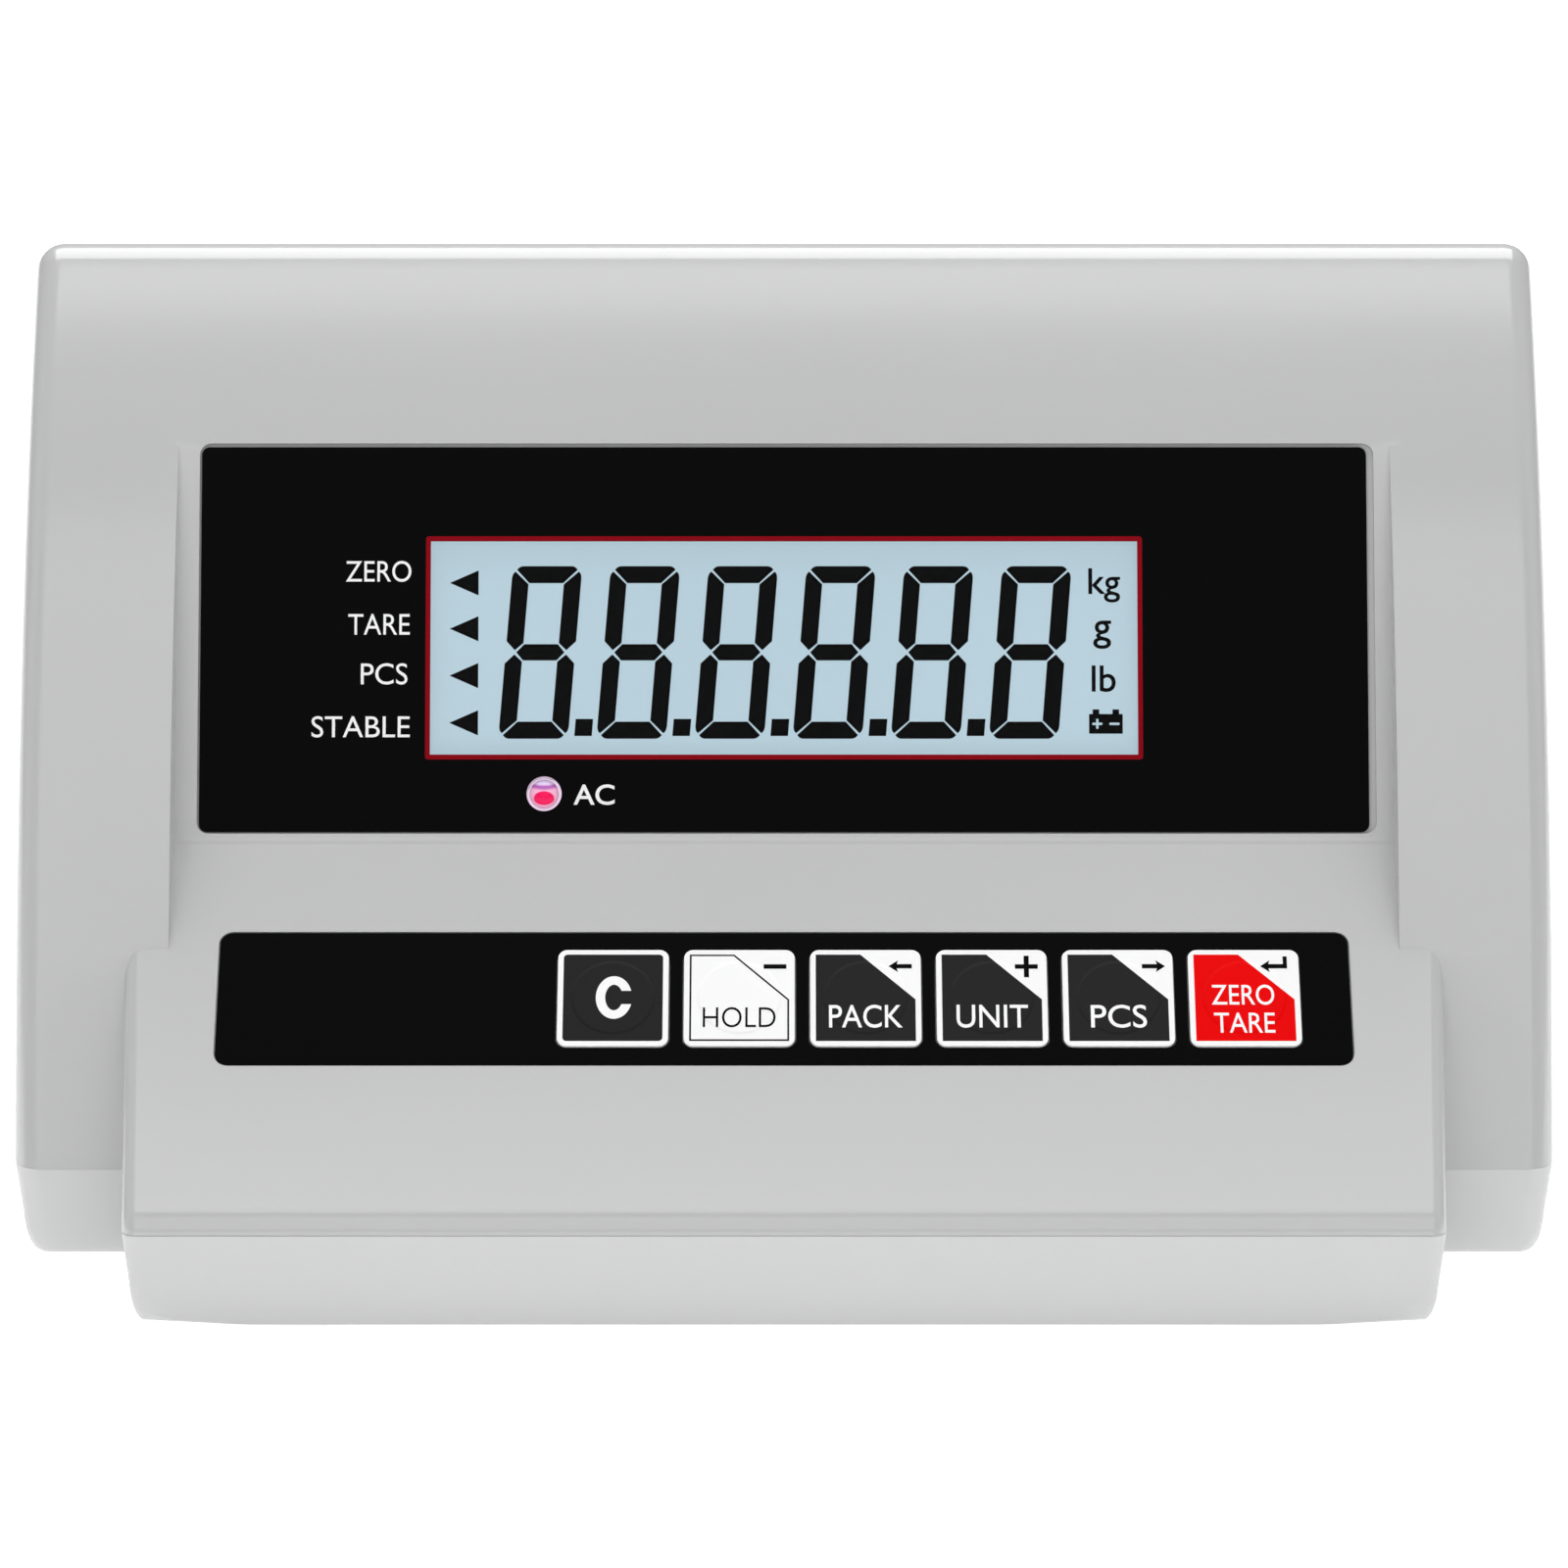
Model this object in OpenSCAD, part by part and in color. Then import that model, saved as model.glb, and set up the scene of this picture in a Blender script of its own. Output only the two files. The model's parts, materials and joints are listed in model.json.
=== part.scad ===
// Bench weighing indicator with piece counting: a wedge-shaped case with a recessed
// display, a six-key pad on its nose, and the load cell, power and switch fittings at the back.
// Millimetres, Z up, front towards -Y, origin under the middle of the whole object.

/* [Case] */
// Width across the cheeks
case_w = 230; // [226:1:236]
// Depth from the nose to the rear wall
case_d = 121; // [119:1:124]
// Height of the tray below the parting line
tray_h = 14.5; // [14:0.5:15]
// Thickness of the moulded walls
wall = 2.8; // [2.6:0.1:3]
// Height of the rubber feet below the tray
foot_h = 2; // [1.5:0.5:3]
// Radius of the curved front
front_r = 300; // [290:5:310]
// Backward lean of the cheeks at the parting line
cheek_lean = 18.5; // [18:0.1:19]
// Distance of the cheeks behind the nose
cheek_set = 24.7; // [24:0.1:26]
// Radius of the top edge
top_r = 5; // [4.5:0.5:6]
// Forward lean of the upper rear wall
rear_lean = 10.6; // [10:0.1:11.5]
// Height where the rear wall starts to lean
knee_z = 64; // [62:1:66]
// Radius of the side edges
side_r = 3; // [2:0.5:3.5]
// Width of the nose at its front
nose_w = 193; // [190:1:196]
// Widening of the nose towards the cheeks
nose_flare = 4; // [3:0.5:5]
// Radius of the upper edge of the nose
nose_r = 3.2; // [2:0.2:3.2]

/* [Display] */
// Lean of the display panel from upright
display_tilt = 26; // [25:0.5:27]
// Width of the recess around the display
recess_w = 183.6; // [182:0.2:185]
// Width of the black panel
panel_w = 176.5; // [174:0.5:178]
// Height of the black panel
panel_h = 58.6; // [57:0.2:59]
// Height of the panel's middle above the crease
panel_up = 30.7; // [30.5:0.1:31]
// Width of the visible glass
view_w = 107.9; // [104:0.1:108.5]
// Height of the visible glass
view_h = 33.1; // [32:0.1:33.5]
// Height of the glass's middle above the crease
view_up = 29.2; // [29:0.1:30]
// Sideways place of the mains lamp
lamp_x = -36.2; // [-40:0.1:-30]
// Height of the mains lamp above the crease
lamp_up = 7.2; // [7:0.1:7.3]

/* [Keypad] */
// Lean of the keypad from upright
keypad_tilt = 52; // [51:0.5:53]
// Distance of the crease behind the nose
crease_set = 51.8; // [51:0.1:52.5]
// Height of the crease
crease_z = 58.6; // [58:0.1:59.5]
// Width of the keypad film
pad_w = 168.3; // [166:0.1:170]
// Height of the keypad film
pad_h = 22.6; // [22:0.1:23]
// Distance of the keys below the crease, along the slope
pad_down = 27.4; // [27:0.1:28]
// Side of one key
key_size = 16.5; // [16:0.1:17]
// Distance from key to key
key_pitch = 18.76; // [18.6:0.02:19]
// Sideways place of the first key
first_key = -25.4; // [-26:0.1:-25]
// Travel of a key
key_travel = 0.5; // [0.4:0.1:0.6]

/* [Fittings] */
// Height of the rear fittings
rear_z = 38; // [36:1:42]
// Sideways place of the load cell socket
socket_x = 52; // [51:1:54]
// Reach of the load cell socket behind the case
socket_out = 9; // [8:0.5:10]
// Sideways place of the power inlet
inlet_x = 73; // [71:1:75]
// Sideways place of the power switch
switch_x = 93; // [91:0.5:93.5]
// Tilt of the power switch to each side
switch_tilt = 9; // [7:0.5:9]
// Bracket threads, spacing across
bracket_x = 75; // [70:1:80]
// Bracket threads, spacing front to back
bracket_y = 30; // [26:1:31]

/* [Hidden] */
$fn = 96;
nose_y = -(case_d + socket_out) / 2;
rear_y = nose_y + case_d;
foot_y = nose_y + cheek_set;
part_z = foot_h + tray_h;
floor_z = foot_h + wall;
crease = [nose_y + crease_set, crease_z];
up_panel = [sin(display_tilt), cos(display_tilt)];
out_panel = [-cos(display_tilt), sin(display_tilt)];
up_pad = [sin(keypad_tilt), cos(keypad_tilt)];
out_pad = [-cos(keypad_tilt), sin(keypad_tilt)];
arc = [foot_y + front_r * cos(cheek_lean), part_z - front_r * sin(cheek_lean)];
up_rear = [-sin(rear_lean), cos(rear_lean)];
out_rear = [cos(rear_lean), sin(rear_lean)];
from_arc = [rear_y, knee_z] - top_r * out_rear - arc;
rise = -from_arc * up_rear
    + sqrt(pow(from_arc * up_rear, 2) - from_arc * from_arc + pow(front_r - top_r, 2));
top = arc + from_arc + rise * up_rear;
out_top = (top - arc) / (front_r - top_r);
post_r = 4.5;
over = 1.01;
posts = [
    [-case_w / 2 + 6.8, rear_y - 6.8], [case_w / 2 - 6.8, rear_y - 6.8],
    [-86, nose_y + 14], [86, nose_y + 14]
];
feet = [[-92, 42], [92, 42], [-70, nose_y + 13], [70, nose_y + 13]];
board_x = 66;
board_y = [nose_y + 27, nose_y + 69];
panel_posts = [[-66, 6], [66, 6], [-66, 50], [66, 50]];
pad_posts = [for (x = [-32.5, 75.5], y = [-9.8, 9.8]) [x, y - pad_down]];
battery = [134, 34, 60];
battery_at = [-34, 32];
strap_at = [-106.2, 39.5];
key_names = ["clear", "hold", "pack", "unit", "count", "zero"];

// Draws a side profile, given as back and up, across the width.
module along_x(w) {
    rotate([90, 0, 90])
        linear_extrude(w, center = true)
            children();
}

// Frame of the display: x across, y up the panel from the crease, z out of it.
module on_panel() {
    translate([0, crease[0], crease[1]])
        rotate([90 - display_tilt, 0, 0])
            children();
}

// Frame of the keypad: x across, y up the slope to the crease, z out of it.
module on_pad() {
    translate([0, crease[0], crease[1]])
        rotate([90 - keypad_tilt, 0, 0])
            children();
}

// Frame of a rear fitting: x across, y down, z out of the rear wall.
module on_rear(x) {
    translate([x, rear_y, rear_z])
        rotate([-90, 0, 0])
            children();
}

module at_each(places) {
    for (p = places)
        translate(p)
            children();
}

module at_keys() {
    for (i = [0 : len(key_names) - 1])
        translate([first_key + i * key_pitch, -pad_down, 0])
            children();
}

module rounded(w, h, r) {
    square([w - 2 * r, h], center = true);
    square([w, h - 2 * r], center = true);
    for (x = [-1, 1], y = [-1, 1])
        translate([x * (w / 2 - r), y * (h / 2 - r)])
            circle(r);
}

// A plate between two heights, centred across.
module plate(w, h, r, low, high) {
    translate([0, 0, low])
        linear_extrude(high - low)
            rounded(w, h, r);
}

module rod(r, low, high) {
    translate([0, 0, low])
        cylinder(r = r, h = high - low);
}

module block(x, y, z, low) {
    translate([-x / 2, -y / 2, low])
        cube([x, y, z]);
}

// What a radius takes off the corner at p between the directions a and b. Circles here are
// a trace larger than the radius, so that they cross the edges they round off.
module corner_cut(p, a, b, r) {
    half = acos(a * b) / 2;
    middle = p + (a + b) / norm(a + b) * r / sin(half);
    difference() {
        polygon([p + a * r / tan(half), p - a - b, p + b * r / tan(half), middle]);
        translate(middle)
            circle(over * r);
    }
}

// Pan-head screw with its head below the given height and its shank above.
module screw(r, head_r, head_h, length) {
    difference() {
        union() {
            rod(head_r, -head_h, 0);
            rod(r, -0.1, length);
        }
        block(head_r * 1.2, head_r * 0.3, head_h * 0.6, -head_h - 0.01);
        block(head_r * 0.3, head_r * 1.2, head_h * 0.6, -head_h - 0.01);
    }
}

function unit(v) = v / norm(v);
function run(path, i) = unit(path[min(i + 1, len(path) - 1)] - path[max(i - 1, 0)]);
function ring(path, i, r, sides) =
    let (d = run(path, i), u = unit(cross(d, [0.31, 0.83, 0.46])), v = cross(d, u))
    [for (k = [0 : sides - 1])
        path[i] + r * (cos(360 * k / sides) * u + sin(360 * k / sides) * v)];

// A round lead along a list of points.
module lead(path, r, sides = 10) {
    last = len(path) - 1;
    points = [for (i = [0 : last]) each ring(path, i, r, sides)];
    sleeve = [for (i = [0 : last - 1], k = [0 : sides - 1])
        let (a = i * sides + k, b = i * sides + (k + 1) % sides)
        each [[a, b, a + sides], [b, b + sides, a + sides]]];
    ends = [for (k = [1 : sides - 2])
        each [[0, k + 1, k], [last * sides, last * sides + k, last * sides + k + 1]]];
    polyhedron(points, [for (f = concat(sleeve, ends)) [f[2], f[1], f[0]]]);
}

function side(path, i) =
    let (d = run(path, i))
    [-d[1], d[0]];

// Profile of a flat cable along a list of back and up points.
module ribbon_profile(path, t) {
    polygon(concat(
        [for (i = [0 : len(path) - 1]) path[i] + side(path, i) * t / 2],
        [for (i = [len(path) - 1 : -1 : 0]) path[i] - side(path, i) * t / 2]
    ));
}

// Where the display and keypad planes meet when both are moved inwards by a depth.
function crease_at(depth) = crease - depth * (out_panel + out_pad) / (1 + out_panel * out_pad);
// Height of the keypad plane, moved inwards by a depth, at a place front to back.
function pad_z(y, depth) =
    crease[1] - (crease[0] - y) / tan(keypad_tilt) - depth / sin(keypad_tilt);

// Side outline of the case without its nose.
module case_profile(inset, base) {
    knee = [rear_y - inset, knee_z - inset * tan(rear_lean / 2)];
    difference() {
        intersection() {
            translate(arc)
                circle(front_r - inset, $fn = 240);
            polygon([
                [nose_y, base], [rear_y - inset, base], knee,
                knee + 100 * up_rear, [nose_y, knee_z + 100]
            ]);
        }
        difference() {
            polygon([top, top + 20 * out_top, top + 20 * (out_top + out_rear), top + 20 * out_rear]);
            translate(top)
                circle(over * (top_r - inset));
        }
    }
}

// Section of what is taken off a side edge that lies at a distance and half-width, with radius s.
module edge_section(r, w, s) {
    at = [for (a = [0, 30, 60, 90]) [r - s + s * sin(a), w - s + s * cos(a)]];
    first = at[0] + (at[0] - at[1]) / 3;
    last = at[3] + (at[3] - at[2]) / 3;
    polygon([first, at[1], at[2], last, [r + 2, last[1]], [r + 2, w + 2], [first[0], w + 2]]);
}

// The side edge of the case. Its runs differ a little in radius, so that they cross cleanly.
module side_edge() {
    half = case_w / 2;
    translate([0, arc[0], arc[1]])
        rotate([0, 90, 0])
            rotate_extrude($fn = 240)
                edge_section(front_r, half, side_r);
    translate([0, top[0], top[1]])
        rotate([0, 90, 0])
            rotate([0, 0, 90 + rear_lean])
                rotate_extrude(angle = 90 - rear_lean + atan2(-out_top[0], out_top[1]))
                    edge_section(over * top_r, half, side_r + 0.12);
    translate([0, rear_y, part_z - 1])
        linear_extrude(knee_z - part_z + 3)
            rotate(90)
                mirror([0, 1])
                    edge_section(0, half, side_r + 0.12);
    translate([0, rear_y, knee_z])
        rotate([rear_lean, 0, 0])
            translate([0, 0, -3])
                linear_extrude(norm(top + top_r * out_rear - [rear_y, knee_z]) + 5)
                    rotate(90)
                        mirror([0, 1])
                            edge_section(0, half, side_r - 0.12);
}

module cheeks(inset) {
    along_x(case_w - 2 * inset)
        case_profile(inset, part_z - (inset > 0 ? 1 : 0));
}

// Everything in front of the display and above the keypad.
module recess(depth) {
    c = crease_at(depth);
    along_x(recess_w + 2 * depth)
        polygon([c, c + 95 * up_panel, [nose_y - 10, c[1] + 90], c - 48 * up_pad]);
}

module nose_plan(inset, back) {
    front = nose_y + inset;
    flare = nose_flare / 2 * (back - nose_y) / 40;
    difference() {
        polygon([
            [-nose_w / 2 + inset, front], [nose_w / 2 - inset, front],
            [nose_w / 2 + flare - inset, back], [-nose_w / 2 - flare + inset, back]
        ]);
        for (m = [0, 1])
            mirror([m, 0])
                corner_cut([nose_w / 2 - inset, front], [-1, 0],
                    unit([flare, back - front]), side_r);
    }
}

module nose(inset) {
    c = crease_at(inset);
    base = part_z - (inset > 0 ? 1 : 0);
    front = nose_y + inset;
    tip = [front, pad_z(front, inset)];
    intersection() {
        along_x(case_w)
            difference() {
                polygon([[front, base], tip, c, [c[0], base]]);
                corner_cut(tip, [0, -1], up_pad, inset > 0 ? 0.8 : nose_r);
            }
        linear_extrude(crease_z + 10)
            nose_plan(inset, c[0] + 1);
    }
}

module shell(inset) {
    difference() {
        cheeks(inset);
        recess(inset);
    }
    nose(inset);
}

module upper_posts() {
    at_each(posts)
        rod(post_r, part_z, part_z + 34);
    on_panel()
        at_each(panel_posts)
            rod(3, -9, 0);
    on_pad()
        at_each(pad_posts)
            rod(2.6, -8.5, 0);
}

module upper_openings() {
    at_each(posts)
        rod(1.5, part_z - 1, part_z + 8.8);
    on_panel() {
        translate([0, panel_up, 0])
            plate(panel_w + 0.4, panel_h + 0.4, 1.4, -0.9, 8);
        translate([0, view_up, 0])
            plate(view_w + 4.5, view_h + 4.3, 1, -1.9, 0);
        translate([0, view_up, 0])
            plate(view_w + 0.6, view_h + 0.6, 0.5, -4, 0);
        translate([lamp_x, lamp_up, 0])
            rod(2.65, -4, 0);
        at_each(panel_posts)
            rod(1.5, -9.5, -4.2);
    }
    on_pad() {
        translate([0, -pad_down, 0])
            plate(pad_w + 0.4, pad_h + 0.4, 2.2, -0.6, 4);
        at_keys() {
            plate(key_size + 0.6, key_size + 0.6, 1.7, -1.4, 0);
            rod(5.75, -4, 0);
        }
        at_each(pad_posts)
            rod(1.2, -9, -3.6);
    }
    on_rear(socket_x)
        rod(8.05, -5, 1);
    on_rear(inlet_x)
        rod(4.05, -5, 1);
    on_rear(switch_x)
        block(12.8, 19, 6, -5);
}

module upper_housing() {
    color([0.78, 0.79, 0.79])
        difference() {
            difference() {
                shell(0);
                for (m = [0, 1])
                    mirror([m, 0, 0])
                        side_edge();
            }
            difference() {
                shell(wall);
                upper_posts();
            }
            upper_openings();
        }
}

module tray_plan(inset) {
    translate([0, (foot_y + rear_y) / 2])
        rounded(case_w - 2 * inset, rear_y - foot_y - 2 * inset, max(side_r - inset, 0.5));
    nose_plan(inset, foot_y + inset + 6);
}

// A tongue of the tray that stands inside the upper wall, for a run along x.
module tongue(length) {
    translate([-length / 2, -1.5, part_z - 4])
        cube([length, 1.6, 3.6]);
    translate([-length / 2, -1.5, part_z - 1])
        cube([length, 1.3, 2.6]);
}

module lower_housing() {
    color([0.82, 0.83, 0.83])
        difference() {
            union() {
                difference() {
                    translate([0, 0, foot_h])
                        linear_extrude(tray_h)
                            tray_plan(0);
                    translate([0, 0, floor_z])
                        linear_extrude(tray_h)
                            tray_plan(wall);
                }
                at_each(posts)
                    rod(post_r, floor_z - 0.5, part_z);
                for (x = [-board_x, board_x], y = board_y)
                    translate([x, y])
                        rod(3.2, floor_z - 0.5, floor_z + 5.2);
                for (x = [-1, 1], y = [-1, 1])
                    translate([x * bracket_x / 2, nose_y + 44 + y * bracket_y / 2])
                        rod(5, floor_z - 0.5, floor_z + 4.4);
                for (x = strap_at)
                    translate([x, battery_at[1]])
                        rod(3.6, floor_z - 0.5, floor_z + 5.2);
                for (y = [-1, 1])
                    translate([battery_at[0], battery_at[1] + y * (battery[1] / 2 + 1.2)])
                        block(110, 2, 7.5, floor_z - 0.5);
                translate([0, rear_y - wall, 0])
                    tongue(190);
                for (s = [-1, 1])
                    translate([s * (case_w / 2 - wall), 10, 0])
                        rotate(-90 * s)
                            tongue(60);
            }
            at_each(posts) {
                rod(1.65, foot_h - 1, part_z + 1);
                rod(3.2, foot_h - 1, foot_h + 6.5);
            }
            at_each(feet)
                rod(6.1, foot_h - 1, foot_h + 1.2);
            for (x = [-board_x, board_x], y = board_y)
                translate([x, y])
                    rod(1.5, floor_z, floor_z + 6);
            for (x = [-1, 1], y = [-1, 1])
                translate([x * bracket_x / 2, nose_y + 44 + y * bracket_y / 2])
                    rod(3.02, foot_h - 1, foot_h + 6.2);
            for (x = strap_at)
                translate([x, battery_at[1]])
                    rod(1.5, floor_z, floor_z + 6);
        }
}

module rubber_feet() {
    color([0.09, 0.09, 0.09])
        at_each(feet)
            rotate_extrude()
                polygon([[0, 0], [5.2, 0], [6, 0.8], [6, foot_h + 1.2], [0, foot_h + 1.2]]);
}

module case_screws() {
    color([0.7, 0.7, 0.72])
        at_each(posts)
            translate([0, 0, foot_h + 6.5])
                screw(1.45, 2.8, 2.2, 15.8);
}

module bracket_inserts() {
    color([0.78, 0.62, 0.3])
        for (x = [-1, 1], y = [-1, 1])
            translate([x * bracket_x / 2, nose_y + 44 + y * bracket_y / 2])
                difference() {
                    rod(3, foot_h, foot_h + 6);
                    rod(2, foot_h - 1, foot_h + 7);
                }
}

module display_overlay() {
    color([0.05, 0.05, 0.06])
        on_panel()
            difference() {
                translate([0, panel_up, 0])
                    plate(panel_w, panel_h, 1.2, -0.9, -0.1);
                translate([0, view_up, 0])
                    plate(view_w, view_h, 0.3, -1, 0);
                translate([lamp_x, lamp_up, 0])
                    rod(2.65, -1, 0);
            }
}

module display_lens() {
    color([0.8, 0.86, 0.9])
        on_panel()
            translate([0, view_up, 0]) {
                plate(view_w + 4, view_h + 3.8, 0.8, -1.9, -0.9);
                plate(view_w - 0.2, view_h - 0.2, 0.3, -1, -0.1);
            }
}

module lcd_glass() {
    color([0.69, 0.79, 0.83])
        on_panel()
            translate([0, view_up, 0])
                plate(view_w + 0.2, view_h + 0.2, 0.3, -4.4, -2);
}

module lcd_backlight() {
    color([0.93, 0.95, 0.96])
        on_panel()
            translate([0, view_up, 0])
                plate(view_w, view_h - 4, 0.5, -9, -4.4);
}

module lcd_holder() {
    color([0.2, 0.2, 0.21])
        on_panel()
            translate([0, view_up, 0])
                difference() {
                    plate(view_w + 8, view_h + 5, 1, -9, -2.8);
                    plate(view_w + 0.6, view_h + 0.6, 0.5, -10, 0);
                }
}

module lcd_pins() {
    color([0.8, 0.8, 0.82])
        on_panel()
            for (i = [0 : 19], s = [-1, 1])
                translate([(i - 9.5) * 5.08, view_up + s * (view_h / 2 - 0.7), 0])
                    block(0.6, 0.6, 4.6, -9);
}

module display_board() {
    color([0.1, 0.36, 0.2])
        on_panel()
            difference() {
                translate([0, 28, 0])
                    plate(140, 50, 2, -10.6, -9);
                at_each(panel_posts)
                    rod(1.65, -11, -8);
            }
}

module display_screws() {
    color([0.7, 0.7, 0.72])
        on_panel()
            at_each(panel_posts)
                translate([0, 0, -10.6])
                    screw(1.45, 2.6, 1.8, 5.8);
}

module mains_lamp() {
    color([0.85, 0.25, 0.25])
        on_panel()
            translate([lamp_x, lamp_up, 0]) {
                translate([0, 0, -6.3])
                    rotate_extrude()
                        intersection() {
                            union() {
                                square([2.5, 4.3]);
                                translate([0, 4.3])
                                    circle(2.5);
                                square([2.8, 0.8]);
                            }
                            square([4, 8]);
                        }
                for (x = [-1.27, 1.27])
                    translate([x, 0, 0])
                        rod(0.25, -9, -6.2);
            }
}

module display_header() {
    color([0.9, 0.88, 0.82])
        on_panel()
            translate([-30, 14, 0])
                block(22, 6, 4, -14.6);
}

module keypad_overlay() {
    color([0.16, 0.16, 0.17])
        on_pad()
            difference() {
                translate([0, -pad_down, 0])
                    plate(pad_w, pad_h, 2, -0.6, -0.1);
                at_keys()
                    plate(key_size + 0.4, key_size + 0.4, 1.6, -1, 1);
            }
}

module key(i) {
    color(i == 5 ? [0.72, 0.1, 0.1] : i == 1 ? [0.92, 0.92, 0.92] : [0.25, 0.25, 0.26])
        on_pad()
            translate([first_key + i * key_pitch, -pad_down, 0]) {
                plate(key_size, key_size, 1.4, -0.55, 0.2);
                rod(5.4, -3.6, -0.5);
            }
}

module stem(i) {
    color([0.95, 0.95, 0.9])
        on_pad()
            translate([first_key + i * key_pitch, -pad_down, 0])
                rod(3.3, -6.1, -3.6);
}

module switch_bodies() {
    color([0.12, 0.12, 0.13])
        on_pad()
            at_keys()
                difference() {
                    block(12, 12, 3.9, -8.5);
                    rod(3.55, -7.2, 0);
                }
}

module switch_domes() {
    color([0.8, 0.78, 0.7])
        on_pad()
            at_keys()
                rod(3.4, -7.2, -6.9);
}

module keypad_board() {
    color([0.1, 0.36, 0.2])
        on_pad()
            difference() {
                translate([21.5, -pad_down, 0])
                    plate(115, 24, 1.5, -10.1, -8.5);
                at_each(pad_posts)
                    rod(1.4, -11, -8);
            }
}

module keypad_screws() {
    color([0.7, 0.7, 0.72])
        on_pad()
            at_each(pad_posts)
                translate([0, 0, -10.1])
                    screw(1.15, 2.2, 1.5, 6);
}

module keypad_header() {
    color([0.9, 0.88, 0.82])
        on_pad()
            translate([-18, -pad_down, 0])
                block(16, 6, 4, -14.1);
}

board_top = floor_z + 6.8;

module main_board() {
    color([0.1, 0.36, 0.2])
        difference() {
            translate([0, (board_y[0] + board_y[1]) / 2, 0])
                plate(144, 52, 2, floor_z + 5.2, board_top);
            for (x = [-board_x, board_x], y = board_y)
                translate([x, y])
                    rod(1.65, floor_z, board_top + 1);
        }
}

module main_screws() {
    color([0.7, 0.7, 0.72])
        for (x = [-board_x, board_x], y = board_y)
            translate([x, y, board_top])
                mirror([0, 0, 1])
                    screw(1.45, 2.6, 1.8, 6.4);
}

module processor() {
    color([0.1, 0.1, 0.1])
        translate([4, nose_y + 44, 0])
            block(14, 14, 1.6, board_top);
}

module converter_can() {
    color([0.75, 0.75, 0.76])
        translate([32, nose_y + 46, 0])
            block(24, 16, 5, board_top);
}

module capacitors() {
    color([0.15, 0.2, 0.35])
        for (x = [-58, -47])
            translate([x, nose_y + 62, board_top])
                cylinder(r = 5, h = 11);
}

module heat_sink() {
    color([0.62, 0.63, 0.65])
        translate([-52, nose_y + 42, 0])
            difference() {
                block(14, 18, 16, board_top);
                for (i = [-1, 0, 1])
                    translate([2, i * 5, 0])
                        block(12, 3, 18, board_top - 1);
            }
}

module regulator() {
    color([0.11, 0.11, 0.11])
        translate([-61.3, nose_y + 42, 0])
            block(4.6, 10, 14, board_top);
}

module buzzer() {
    color([0.1, 0.1, 0.1])
        translate([50, nose_y + 34, board_top])
            difference() {
                cylinder(r = 6, h = 8.5);
                rod(1, 6, 9);
            }
}

module wire_headers() {
    color([0.9, 0.88, 0.82])
        for (x = [20, 31, 42, 53])
            translate([x, nose_y + 67, 0])
                block(8, 6, 6, board_top);
}

module ribbon_headers() {
    color([0.9, 0.88, 0.82]) {
        translate([-30, nose_y + 67, 0])
            block(22, 6, 6, board_top);
        translate([-18, nose_y + 40, 0])
            block(16, 6, 6, board_top);
    }
}

module display_ribbon() {
    start = crease + 14 * up_panel - 14.75 * out_panel;
    color([0.6, 0.62, 0.65])
        translate([-30, 0, 0])
            along_x(18)
                ribbon_profile([
                    start, start + [2, -1.2], start + [3.2, -4], start + [3, -12],
                    [nose_y + 68, board_top + 18], [nose_y + 67, board_top + 10],
                    [nose_y + 67, board_top + 6]
                ], 0.8);
}

module keypad_ribbon() {
    start = crease - pad_down * up_pad - 14.3 * out_pad;
    color([0.6, 0.62, 0.65])
        translate([-18, 0, 0])
            along_x(12)
                ribbon_profile([
                    start, start + [0.8, -1.6],
                    [nose_y + 40, board_top + 8.5], [nose_y + 40, board_top + 6]
                ], 0.8);
}

module battery_pack() {
    color([0.2, 0.21, 0.23])
        translate([battery_at[0], battery_at[1], floor_z])
            plate(battery[0], battery[1], 2, 0, battery[2]);
}

module battery_tabs() {
    color([0.8, 0.8, 0.78])
        for (x = [-56, 56])
            translate([battery_at[0] + x, battery_at[1] - 12.5, 0])
                block(6.3, 0.8, 6.5, floor_z + battery[2]);
}

module battery_strap() {
    l = battery_at[0] - battery[0] / 2 - 0.2;
    r = battery_at[0] + battery[0] / 2 + 0.2;
    h = floor_z + battery[2] + 0.2;
    f = floor_z + 5.2;
    color([0.72, 0.73, 0.75])
        difference() {
            translate([0, battery_at[1] + 8, 0])
                rotate([90, 0, 0])
                    linear_extrude(16)
                        polygon([
                            [l - 9, f], [l, f], [l, h], [r, h], [r, f], [r + 10, f],
                            [r + 10, f + 1], [r + 1, f + 1], [r + 1, h + 1], [l - 1, h + 1],
                            [l - 1, f + 1], [l - 9, f + 1]
                        ]);
            for (x = strap_at)
                translate([x, battery_at[1]])
                    rod(1.65, floor_z, floor_z + 10);
        }
}

module strap_screws() {
    color([0.7, 0.7, 0.72])
        for (x = strap_at)
            translate([x, battery_at[1], floor_z + 6.2])
                mirror([0, 0, 1])
                    screw(1.45, 2.6, 1.8, 5.6);
}

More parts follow.
